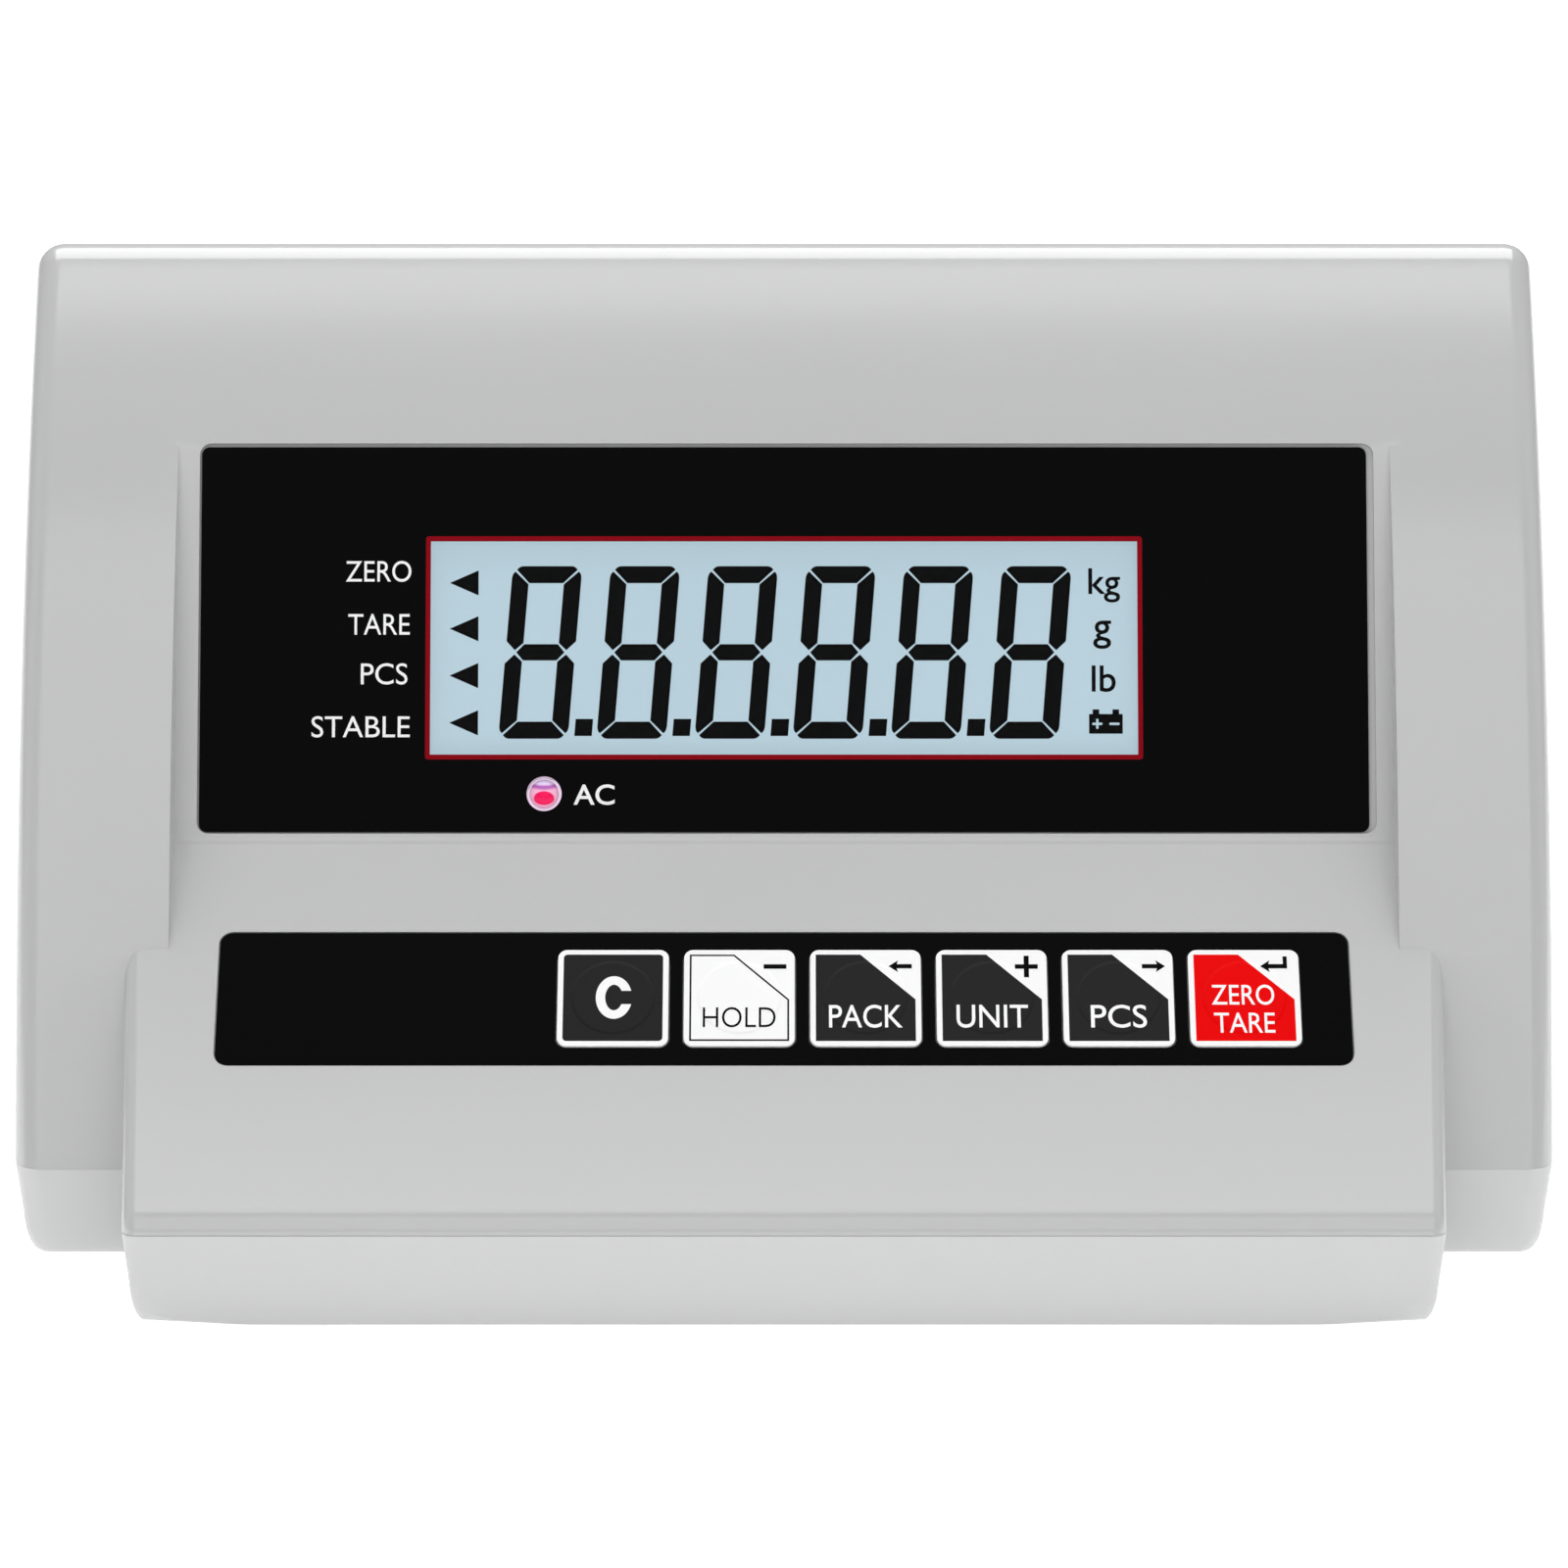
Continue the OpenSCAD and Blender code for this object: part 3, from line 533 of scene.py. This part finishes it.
# %% Side outline
half_w, half_recess, part_z, wall = 115.0, 91.8, 16.5, 2.8
nose_y, rear_y, foot_y = -65.0, 56.0, -40.3
front_r, top_r, knee_z = 300.0, 5.0, 64.0
cheek_lean, rear_lean = math.radians(18.5), math.radians(10.6)
arc = Vector((foot_y + front_r * math.cos(cheek_lean), part_z - front_r * math.sin(cheek_lean)))
up_rear = Vector((-math.sin(rear_lean), math.cos(rear_lean)))
out_rear = Vector((math.cos(rear_lean), math.sin(rear_lean)))
from_arc = Vector((rear_y, knee_z)) - top_r * out_rear - arc
along = from_arc.dot(up_rear)
rise = -along + math.sqrt(along**2 - from_arc.dot(from_arc) + (front_r - top_r) ** 2)
top = arc + from_arc + rise * up_rear
top_turn = math.atan2(top.y - arc.y, top.x - arc.x)
up_panel = Vector((math.sin(panel_lean), math.cos(panel_lean)))
up_pad = Vector((math.sin(pad_lean), math.cos(pad_lean)))
fold = Vector((crease_y, crease_z))
along_x = Matrix(((0, 0, 1, 0), (1, 0, 0, 0), (0, 1, 0, 0), (0, 0, 0, 1)))
nose_bends = ((52, 50, 2.0), (50, 4, 3.4))  # lean at the start and at the end, length
nose_setback = 0.2


def bow(middle, r, start, end, steps):
    turn = [start + (end - start) * k / steps for k in range(steps + 1)]
    return [(middle.x + r * math.cos(a), middle.y + r * math.sin(a)) for a in turn]


def corner(before, point, after, r, steps=6):
    p, a, b = Vector(point), Vector(before) - Vector(point), Vector(after) - Vector(point)
    a.normalize()
    b.normalize()
    half = a.angle(b) / 2
    middle = p + (a + b).normalized() * r / math.sin(half)
    ends = [p + a * r / math.tan(half) - middle, p + b * r / math.tan(half) - middle]
    start = math.atan2(ends[0].y, ends[0].x)
    sweep = (math.atan2(ends[1].y, ends[1].x) - start + math.pi) % (2 * math.pi) - math.pi
    return bow(middle, r, start, start + sweep, steps)


def case_outline(inset, base):
    rear = rear_y - inset
    r = front_r - inset
    end = math.pi - math.asin((base - arc.y) / r)
    ring = [(rear, base), (rear, knee_z - inset * math.tan(rear_lean / 2))]
    ring += bow(top, top_r - inset, rear_lean, top_turn, 12)
    return ring + bow(arc, r, top_turn, end, 72)[1:]


def fold_at(depth):
    out_panel = Vector((-up_panel.y, up_panel.x))
    out_pad = Vector((-up_pad.y, up_pad.x))
    return fold - depth * (out_panel + out_pad) / (1 + out_panel.dot(out_pad))


def recess_outline(depth, soft):
    c = fold_at(depth)
    low = c - 48 * up_pad + 0.4 * Vector((up_pad.y, -up_pad.x))
    ends = [c + 95 * up_panel, Vector((nose_y - 10, c.y + 90)), low]
    return ends + (corner(ends[-1], c, ends[0], soft) if soft else [c])


def nose_outline(inset, base, steps=8):
    c = fold_at(inset)
    front = nose_y + inset + (0 if inset else nose_setback)
    path = [Vector((0, 0))]
    for start, end, length in nose_bends:
        for k in range(steps):
            turn = math.radians(start + (end - start) * (k + 0.5) / steps)
            path.append(path[-1] - length / steps * Vector((math.sin(turn), math.cos(turn))))
    y = front - path[-1].x
    begin = Vector((y, c.y - (c.x - y) / math.tan(pad_lean)))
    return [Vector((c.x, base)), c] + [begin + step for step in path] + [Vector((front, base))]


print("top of the case at", round(top.y + top_r, 2), "mm")

# %% [markdown]
# ## Upper housing
# A slab with the side outline gets its side edges rounded, loses the recess in front of the
# display, and is joined with the nose under the keypad. The hollow, with its screw posts left
# standing, and the openings for the glass, the keys and the rear fittings are cut last.

# %% The body and its recess
hair = 1e-7
upper = slab("upper_case", case_outline(0, part_z), -half_w, half_w, along_x)


def at(edge, test):
    first, last = (v.co / mm for v in edge.verts)
    return test(first) and test(last) and (abs(first.x) < 1 or first.x * last.x > 0)


def above(p):
    return p.z > part_z + 0.01


def on_side(p):
    return abs(abs(p.x) - half_w) < 0.01


round_off(upper, lambda e: at(e, on_side) and any(above(v.co / mm) for v in e.verts), 4.2, 8)
only(upper)
bpy.ops.object.mode_set(mode="EDIT")
for x in (-94.0, 94.0):
    bpy.ops.mesh.select_all(action="SELECT")
    bpy.ops.mesh.bisect(plane_co=(x * mm, 0, 0), plane_no=(1, 0, 0), threshold=hair)
clear()
carve(upper, slab("recess", recess_outline(0, 4.0), -half_recess, half_recess, along_x))
print("faces:", len(upper.data.polygons))


# %% The nose
flank_lean = 0.05


def half_nose(inset):
    return 96.5 - inset


def trim(piece, point, outward):
    only(piece)
    bpy.ops.object.mode_set(mode="EDIT")
    bpy.ops.mesh.select_all(action="SELECT")
    bpy.ops.mesh.bisect(
        plane_co=point, plane_no=outward, use_fill=True, clear_outer=True, threshold=hair
    )
    clear()


def nose_block(name, inset, base):
    piece = slab(name, nose_outline(inset, base), -110, 110, along_x)
    for side in (-1, 1):
        place = (side * half_nose(inset) * mm, nose_y * mm, 0)
        trim(piece, place, (side, -flank_lean, 0))
    return piece


def on_flank(p):
    return abs(abs(p.x) - half_nose(0) - flank_lean * (p.y - nose_y)) < 0.01


def off_the_back(p):
    return above(p) and p.y < fold.x - 0.1


nose = nose_block("nose", 0, part_z - 4)
round_off(nose, lambda e: at(e, on_flank) and any(off_the_back(v.co / mm) for v in e.verts), 2.2, 6)
trim(nose, (0, 0, part_z * mm), (0, 0, -1))
carve(upper, nose, "UNION")
print("faces with the nose:", len(upper.data.polygons))


# %% Softer recess edges
def depth_at(p):
    return (Vector((p.y, p.z)) - fold).dot(Vector((-up_panel.y, up_panel.x)))


def on_front(p):
    near = abs((Vector((p.y, p.z)) - arc).length - front_r) < 0.05
    return near and abs(abs(p.x) - half_recess) < 0.01 and depth_at(p) > 0.2


share = upper.data.attributes.new("bevel_weight_edge", "FLOAT", "EDGE")
for edge in upper.data.edges:
    first, last = (upper.data.vertices[k].co / mm for k in edge.vertices)
    if on_front(first) and on_front(last) and first.x * last.x > 0:
        share.data[edge.index].value = min(1.0, min(depth_at(first), depth_at(last)) / 3)
ease = upper.modifiers.new("ease", "BEVEL")
ease.limit_method = "WEIGHT"
ease.width = 1.6 * mm
ease.segments = 5
only(upper)
bpy.ops.object.modifier_apply(modifier=ease.name)
print("faces:", len(upper.data.polygons))

# %% The hollow
posts = [(-108.2, 49.2), (108.2, 49.2), (-86, -51), (86, -51)]
panel_posts = [(-66, 6), (66, 6), (-66, 50), (66, 50)]
pad_posts = [(x, y + key_y) for x in (-32.5, 75.5) for y in (-9.8, 9.8)]
key_x = [first_x + key_pitch * k for k in range(6)]
half_inner = half_recess + wall
hollow = slab("hollow", case_outline(wall, part_z - 1), -half_w + wall, half_w - wall, along_x)
behind = slab("floor_of_recess", recess_outline(wall, 0), -half_inner, half_inner, along_x)
carve(hollow, behind)
carve(hollow, nose_block("hollow_nose", wall, part_z - 3), "UNION")
standing = [disc("post", x, y, 4.5, part_z, part_z + 34) for x, y in posts]
carve(hollow, joined("posts", standing))
standing = [disc("post", x, y, 3, -9, 0.5, on_panel, 32) for x, y in panel_posts]
standing += [disc("post", x, y, 2.6, -8.5, 0.5, on_pad, 32) for x, y in pad_posts]
carve(hollow, joined("small_posts", standing))
carve(upper, hollow)
print("faces around the hollow:", len(upper.data.polygons))

# %% The openings
socket_x, inlet_x, switch_x, rear_z = 52, 73, 93, 38


def on_rear(x):
    middle = Matrix.Translation(Vector((x, rear_y, rear_z)) * mm)
    return middle @ Matrix.Rotation(-math.pi / 2, 4, "X")


# the gap around the display film, a little wider at its right and upper edges
carve(upper, slab("panel_lip", rounded(177.9, 59.5, 1.8, 0.4, 30.85), -0.8, 8, on_panel))
cuts = [slab("panel_seat", rounded(176.9, 59.0, 1.4, 0, panel_y), -0.9, 8, on_panel)]
cuts.append(slab("pad_seat", rounded(168.7, 23.0, 2.2, 0, key_y), -0.6, 4, on_pad))
cuts.append(disc("socket_hole", 0, 0, 8.05, -5, 1, on_rear(socket_x)))
cuts.append(disc("inlet_hole", 0, 0, 4.05, -5, 1, on_rear(inlet_x)))
cuts.append(slab("switch_hole", rounded(12.8, 19, 0.3), -5, 1, on_rear(switch_x)))
carve(upper, joined("seats", cuts))
cuts = [slab("glass_seat", rounded(112.4, 37.4, 1, 0, glass_y), -1.9, 0, on_panel)]
cuts.append(disc("lamp_hole", lamp_x, lamp_y, 2.65, -4, 0, on_panel, 32))
cuts += [slab("key_seat", rounded(17.1, 17.1, 1.7, x, key_y), -1.4, 0, on_pad) for x in key_x]
carve(upper, joined("key_seats", cuts))
cuts = [slab("glass_hole", rounded(108.5, 33.7, 0.5, 0, glass_y), -4, 0, on_panel)]
cuts += [disc("key_hole", x, key_y, 5.75, -4, 0, on_pad, 32) for x in key_x]
cuts += [disc("bore", x, y, 1.5, part_z - 1, part_z + 8.8, sides=24) for x, y in posts]
cuts += [disc("bore", x, y, 1.5, -9.5, -4.2, on_panel, 24) for x, y in panel_posts]
cuts += [disc("bore", x, y, 1.2, -9, -3.6, on_pad, 24) for x, y in pad_posts]
carve(upper, joined("holes", cuts))
smooth(upper)
hand_over(upper, "case", "case_grey", "upper_housing")
print("upper case faces:", len(upper.data.polygons))

# %% [markdown]
# ## Lower tray
# The tray follows the plan of the case and the nose. It is drawn in by a millimetre towards its
# floor, as a moulding has to be, and its corners are rounded. The rounding of its lower edge is
# stretched upwards, so the walls curve in gently. Bosses for the boards, the bracket and the
# battery strap stand on its floor.


# %% Tray outline
def tray_outline(inset, r):
    w, n = half_w - inset, half_nose(inset)
    f, e = foot_y + inset, nose_y + inset
    flank = n + flank_lean * (f - nose_y)
    raw = [(n, e), (flank, f), (w, f), (w, rear_y - inset)]
    raw += [(-x, y) for x, y in reversed(raw)]
    soft = {0: r / 2, 7: r / 2, 1: 0.6, 6: 0.6}
    ring = []
    for k, point in enumerate(raw):
        bend = soft.get(k, r)
        ring += corner(raw[k - 1], point, raw[(k + 1) % len(raw)], bend, 6 if bend > 1 else 2)
    return ring


foot_h, floor_z, draft, stretch = 2.0, 4.8, 1.0, 3.2
middle_y, half_depth = (nose_y + rear_y) / 2, (rear_y - nose_y) / 2
tray = slab("tray", tray_outline(0, 4.2), foot_h, part_z)
choose(tray, "FACE", lambda f: f.normal.z < -0.9)
shrink = (1 - draft / half_w, 1 - draft / half_depth, 1)
bpy.ops.transform.resize(value=shrink, center_override=(0, middle_y * mm, 0))
clear()
round_off(tray, lambda e: at(e, lambda p: p.z < foot_h + 0.01), 1.9, 7)
for vertex in tray.data.vertices:
    if vertex.co.z < (foot_h + 2) * mm:
        vertex.co.z = foot_h * mm + (vertex.co.z - foot_h * mm) * stretch
round_off(tray, lambda e: at(e, lambda p: p.z > part_z - 0.01), 0.15, 2)
print("tray faces:", len(tray.data.polygons))

# %% Inside and underside of the tray
inside = slab("inside", tray_outline(wall, 0.6), floor_z, part_z + 2)
board_at = [(x, y) for x in (-66, 66) for y in (-38, 4)]
bracket_at = [(x, y - 21) for x in (-37.5, 37.5) for y in (-15, 15)]
strap_at = [(-106.2, 32), (39.5, 32)]
feet_at = [(-92, 42), (92, 42), (-70, -52), (70, -52)]
bosses = [disc("boss", x, y, 4.5, floor_z - 0.5, part_z, sides=40) for x, y in posts]
bosses += [disc("boss", x, y, 3.2, floor_z - 0.5, floor_z + 5.2, sides=32) for x, y in board_at]
bosses += [disc("boss", x, y, 5, floor_z - 0.5, floor_z + 4.4, sides=40) for x, y in bracket_at]
bosses += [disc("boss", x, y, 3.6, floor_z - 0.5, floor_z + 5.2, sides=32) for x, y in strap_at]
for y in (13.8, 50.2):
    bosses.append(slab("rib", rounded(110, 2, 0.3, -34, y), floor_z - 0.5, floor_z + 7))
carve(inside, joined("bosses", bosses))
carve(tray, inside)
cuts = [disc("sink", x, y, 3.2, foot_h - 1, foot_h + 6.5, sides=40) for x, y in posts]
cuts += [disc("seat", x, y, 6.1, foot_h - 1, foot_h + 1.2) for x, y in feet_at]
cuts += [disc("bore", x, y, 3.02, foot_h - 1, foot_h + 6.2, sides=40) for x, y in bracket_at]
cuts += [disc("bore", x, y, 1.5, floor_z, floor_z + 6, sides=24) for x, y in board_at + strap_at]
carve(tray, joined("underside", cuts))
cuts = [disc("bore", x, y, 1.65, foot_h + 6, part_z + 1, sides=24) for x, y in posts]
carve(tray, joined("bores", cuts))
smooth(tray)
# the tray's lighter grey partly paints in the light the floor throws onto the lower half
hand_over(tray, "case", "tray_grey", "lower_housing")
print("tray faces:", len(tray.data.polygons))

# %% [markdown]
# ## Small fittings with their edges eased
# The feet, the films, the keys and the rear fittings keep the shape of their nodes. A copy is
# merged, its flat faces are cleaned up, and every sharp edge is eased by a tenth of a millimetre
# or so, which is what catches the light on a moulded part.

# %% Eased copies


def eased(node, width, steps=2, angle=30, slot=None, finish=None):
    body = frame["nodes"][node]["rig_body"]
    only(frame["nodes"][node])
    bpy.ops.object.duplicate()
    piece = bpy.context.object
    for key in list(piece.keys()):
        del piece[key]
    piece.parent = None
    piece.matrix_world = Matrix.Identity(4)
    piece.name = node + "_eased"
    bpy.ops.mesh.customdata_custom_splitnormals_clear()
    bpy.ops.object.mode_set(mode="EDIT")
    bpy.ops.mesh.select_all(action="SELECT")
    bpy.ops.mesh.remove_doubles(threshold=0.000002)
    bpy.ops.mesh.dissolve_limited(angle_limit=math.radians(0.8))
    clear()
    only(piece)
    ease = piece.modifiers.new("ease", "BEVEL")
    ease.width = width * mm
    ease.segments = steps
    ease.limit_method = "ANGLE"
    ease.angle_limit = math.radians(angle)
    bpy.ops.object.modifier_apply(modifier=ease.name)
    smooth(piece, 40)
    return hand_over(piece, body, slot or slot_of[node], node, finish=finish)


for node, width in (
    ("rubber_feet", 0.35),
    ("display_overlay", 0.12),
    ("keypad_overlay", 0.06),
    ("socket_shell", 0.35),
    ("power_inlet", 0.2),
    ("rocker_frame", 0.35),
    ("rocker", 0.35),
    ("battery_pack", 0.8),
    ("processor", 0.15),
    ("converter_can", 0.6),
    ("capacitors", 0.5),
    ("buzzer", 0.4),
):
    piece = eased(node, width)
    print(piece.name, len(piece.data.polygons))

# %% [markdown]
# ## Printing
# Legends are thin slabs a few hundredths of a millimetre high, so that they lie on the film like
# ink. Words are set as text, turned into a mesh and scaled to the measured height and width.

# %% Printing helpers


def word(text, x, y, height, width=None, place=on_panel, level=0.0, align="LEFT", weight=0.0):
    clear()
    bpy.ops.object.text_add()
    piece = bpy.context.object
    piece.data.body = text
    piece.data.resolution_u = 5
    piece.data.offset = weight
    piece.data.extrude = 0.5
    bpy.ops.object.convert(target="MESH")
    piece = bpy.context.object
    points = [v.co.copy() for v in piece.data.vertices]
    low, high = min(p.x for p in points), max(p.x for p in points)
    rise = height / max(p.y for p in points)
    run = width / (high - low) if width else rise
    shift = {"LEFT": 0, "RIGHT": 1, "CENTER": 0.5}[align] * (high - low) * run
    for vertex in piece.data.vertices:
        p = vertex.co
        p.x, p.y, p.z = (p.x - low) * run - shift + x, p.y * rise + y, level + 0.01 + 0.03 * p.z
        vertex.co = p * mm
    only(piece)
    bpy.ops.object.mode_set(mode="EDIT")
    bpy.ops.mesh.select_all(action="SELECT")
    bpy.ops.mesh.remove_doubles(threshold=0.0000005)
    bpy.ops.mesh.dissolve_degenerate(threshold=0.0000005)
    bpy.ops.mesh.normals_make_consistent(inside=False)
    return settle(piece, place)


def inked(name, corners, level, place=on_panel, thick=0.025):
    return slab(name, corners, level - 0.01, level + thick, place)


def frame_ring(name, w, h, r, line, level, x=0, y=0, place=on_panel, thick=0.025):
    piece = inked(name, rounded(w, h, r, x, y), level, place, thick)
    inner = rounded(w - 2 * line, h - 2 * line, max(r - line, 0.05), x, y)
    return carve(piece, slab("inner", inner, level - 1, level + 1, place))


ink_white = moulded("ink_white", (0.98, 0.98, 0.98), 0.45, 0.000004, 3000.0, 0.01)
ink_black = moulded("ink_black", (0.001, 0.001, 0.0012), 0.4, 0.000004, 3000.0, 0.1, matt)
ink_red = moulded("ink_red", (0.27, 0.003, 0.009), 0.4, 0.000004, 3000.0, 0.12, matt)
print("inks:", ink_white.name, ink_black.name, ink_red.name)

# %% [markdown]
# ## Display: legends, frame and digits
# White words name the four pointers at the left, a thin red line frames the glass, and the glass
# shows every segment at once: six digits with their points, four pointers, the units and the
# battery sign. One digit is drawn and copied five times.

# %% Legends and frame on the panel
film = -0.1
words = [
    word("ZERO", -56.4, 39.45, 3.16, 9.9, level=film, align="RIGHT"),
    word("TARE", -56.6, 31.35, 3.16, 9.3, level=film, align="RIGHT"),
    word("PCS", -56.9, 23.8, 3.2, 7.05, level=film, align="RIGHT"),
    word("STABLE", -56.5, 15.75, 3.2, 14.85, level=film, align="RIGHT"),
    word("AC", -31.75, 5.55, 3.04, 6.2, level=film, weight=0.01),
]
legends = joined("panel_legends", words)
hand_over(legends, "case", "white_plastic", finish=ink_white)
border = frame_ring("glass_border", 108.4, 34.0, 0.45, 0.75, film, 0, 29.37)
hand_over(border, "case", "key_red", finish=ink_red)
print("legends:", len(legends.data.polygons), "border:", len(border.data.polygons))

# %% Segments of one digit
lean, dw, dh, bar = 0.081, 5.27, 13.17, 2.6
first_digit, digit_pitch, digit_y = -36.9, 14.84, 28.9
glass = -2.0


def mirrored(points, sx, sy):
    return [(x * sx, y * sy) for x, y in points]


half_cap = [(dw - 1.5, dh), (dw - 1.05, dh - 0.16)]
half_cap += [(dw - 0.66, dh - 0.55), (dw - bar - 0.1, dh - bar)]
cap = half_cap + [(-x, y) for x, y in reversed(half_cap)]
limb = [(-dw, dh - 1.75), (-dw + 0.14, dh - 1.2)]
limb += [(-dw + 0.46, dh - 0.82), (-dw + bar, dh - bar - 0.18)]
limb += [(-dw + bar, 1.42), (-dw + 1.36, 0.32), (-dw, 1.7)]
waist = [(dw - 1.62, 0), (dw - 2.72, 1.24), (-dw + 2.72, 1.24)]
middle = waist + [(-x, -y) for x, y in waist]
segments = [cap, mirrored(cap, 1, -1), middle]
segments += [mirrored(limb, sx, sy) for sx in (1, -1) for sy in (1, -1)]
point = [(6.2, -12.75), (8.85, -12.75), (8.85, -10.15), (6.2, -10.15)]


def digit(x, shapes):
    slanted = [[(x + px + lean * py, digit_y + py) for px, py in shape] for shape in shapes]
    return [inked("segment", shape, glass) for shape in slanted]


marks = []
for k in range(6):
    marks += digit(first_digit + digit_pitch * k, segments + ([point] if k < 5 else []))
print("segments:", len(marks))

# %% Pointers, units and battery sign
for y in (39.5, 32.5, 25.35, 18.15):
    marks.append(inked("pointer", [(-50.65, y), (-46.3, y - 1.92), (-46.3, y + 1.92)], glass))
marks.append(word("kg", 48.55, 37.85, 3.9, level=glass, align="CENTER", weight=0.008))
marks.append(word("g", 48.2, 30.9, 2.85, level=glass, align="CENTER", weight=0.008))
marks.append(word("lb", 48.4, 22.95, 3.95, level=glass, align="CENTER", weight=0.008))
cell_x, cell_y = 48.7, 18.0
cell = inked("cell", rounded(5.1, 3.0, 0.1, cell_x, cell_y), glass)
for x, w, h in ((-1.3, 1.5, 0.36), (1.3, 1.5, 0.36), (-1.3, 0.36, 1.5)):
    carve(cell, slab("hole", rounded(w, h, 0.02, cell_x + x, cell_y), -3, -1, on_panel))
marks.append(cell)
for x in (47.2, 50.2):
    marks.append(inked("pole", rounded(1.0, 0.8, 0.05, x, 19.8), glass))
marks = joined("lcd_marks", marks)
hand_over(marks, "case", "panel_black", finish=ink_black)
print("marks on the glass:", len(marks.data.polygons))

# %% [markdown]
# ## Keys
# Each key is a plate of printed film: a white frame, a dark, white or red field with its upper
# right corner cut off, a sign in that corner and a word below. A faint ring shows where the snap
# dome sits underneath. Everything on a key rides with that key, so it goes down when it is pressed.

# %% Fields and signs
face = 0.2
field = [(-7.4, -7.4), (7.4, -7.4), (7.4, -0.3), (-0.74, 7.4), (-7.4, 7.4)]
hold_field = [(-7.12, -7.12), (7.12, -7.12), (7.12, -0.43), (-0.86, 7.12), (-7.12, 7.12)]


def at_key(k):
    return on_pad @ Matrix.Translation(Vector((key_x[k], key_y, 0)) * mm)


def arrow(way, x, place):
    head, end = x + way * 1.75, x + way * 0.35
    start, stop = x - way * 1.7, end + way * 0.5
    tip = [(head, 5.4), (end, 6.4), (end + way * 0.3, 5.4), (end, 4.4)]
    tail = [(start, 5.04), (stop, 5.04), (stop, 5.76), (start, 5.76)]
    return [inked("tip", tip, face, place), inked("tail", tail, face, place, 0.027)]


def sign(name, place):
    if name in ("hold", "unit"):
        x = 5.3 if name == "hold" else 5.2
        made = [inked("dash", rounded(3.4, 0.75, 0.05, x, 5.35), face, place)]
        if name == "unit":
            made.append(inked("stroke", rounded(0.75, 3.7, 0.05, x, 5.35), face, place, 0.027))
        return made
    if name == "zero":
        riser = inked("riser", rounded(0.6, 2.05, 0.05, 6.2, 6.06), face, place, 0.03)
        run = inked("run", rounded(1.05, 0.72, 0.05, 5.97, 5.4), face, place, 0.029)
        return arrow(-1, 4.25, place) + [riser, run]
    return arrow(-1, 5.2, place) if name == "pack" else arrow(1, 5.35, place)


fields = dict.fromkeys(("clear", "hold", "pack", "unit", "count", "zero"), "key_grey")
fields.update(hold="key_white", zero="key_red")
print("fields:", len(fields))

# %% Print every key
for k, (name, tone) in enumerate(fields.items()):
    place, body = at_key(k), "key_" + name
    eased("key_" + name, 0.1, slot="key_white", finish=finishes["key_white"])
    if name == "hold":
        edge = inked("edge", field, face, place, 0.02)
        hand_over(edge, body, "key_grey").name = "key_hold_line"
        plate = inked("plate", hold_field, face, place, 0.03)
    else:
        outline = rounded(14.8, 14.8, 0.6) if name == "clear" else field
        plate = inked("plate", outline, face, place)
    plate.name = "key_" + name + "_field"
    hand_over(plate, body, tone)
    high = face + 0.03
    if name == "clear":
        rim = []
        for way, rx, ry in ((1, 2.7, 3.65), (-1, 1.3, 2.2)):
            gap = math.asin(1.15 / ry)
            turn = [gap + (2 * math.pi - 2 * gap) * k / 40 for k in range(41)][::way]
            rim += [(0.15 + rx * math.cos(a), ry * math.sin(a)) for a in turn]
        letters = [inked("letter", rim, high, place, 0.03)]
    elif name == "zero":
        letters = [word("ZERO", -0.25, -1.2, 3.4, 9.3, place, high, "CENTER", 0.002)]
        letters.append(word("TARE", -0.15, -6.0, 3.4, 9.0, place, high, "CENTER", 0.002))
    else:
        text = {"hold": "HOLD", "pack": "PACK", "unit": "UNIT", "count": "PCS"}[name]
        length = {"hold": 10.8, "pack": 10.9, "unit": 10.6, "count": 8.3}[name]
        cap_height = 3.45 if name == "hold" else 3.85
        weight = -0.008 if name == "hold" else 0.004
        letters = [word(text, 0.0, -5.1, cap_height, length, place, high, "CENTER", weight)]
    letters = joined("key_" + name + "_word", letters)
    hand_over(letters, body, "white_plastic", finish=ink_black if name == "hold" else ink_white)
    if name != "clear":
        mark = joined("key_" + name + "_sign", sign(name, place))
        hand_over(mark, body, "panel_black", finish=ink_black)
    print("key", name, "printed")

# %% [markdown]
# ## Signs on the power switch
# A bar and a ring mark the two ends of the rocker. They lie on its two faces and turn with it.

# %% Rocker signs
rest_tilt = Matrix.Rotation(math.radians(-9), 4, "X")
rocker_place = on_rear(switch_x) @ Matrix.Translation((0, 0, -mm)) @ rest_tilt
face_rise, face_run, sign_y = 1.6, 7.6, 4.2
slope = math.atan2(face_rise, face_run)


def on_face(way):
    height = 2 + sign_y * face_rise / face_run
    seat = Matrix.Translation(Vector((0, way * sign_y, height)) * mm)
    return rocker_place @ seat @ Matrix.Rotation(way * slope, 4, "X")


bar_sign = inked("rocker_bar", rounded(0.6, 3.2, 0.1), 0, on_face(-1), 0.03)
hand_over(bar_sign, "rocker", "white_plastic", finish=ink_white)
ring_sign = frame_ring("rocker_ring", 3.0, 3.0, 1.49, 0.5, 0, 0, 0, on_face(1), 0.03)
hand_over(ring_sign, "rocker", "white_plastic", finish=ink_white)
print("rocker signs:", len(bar_sign.data.polygons), len(ring_sign.data.polygons))
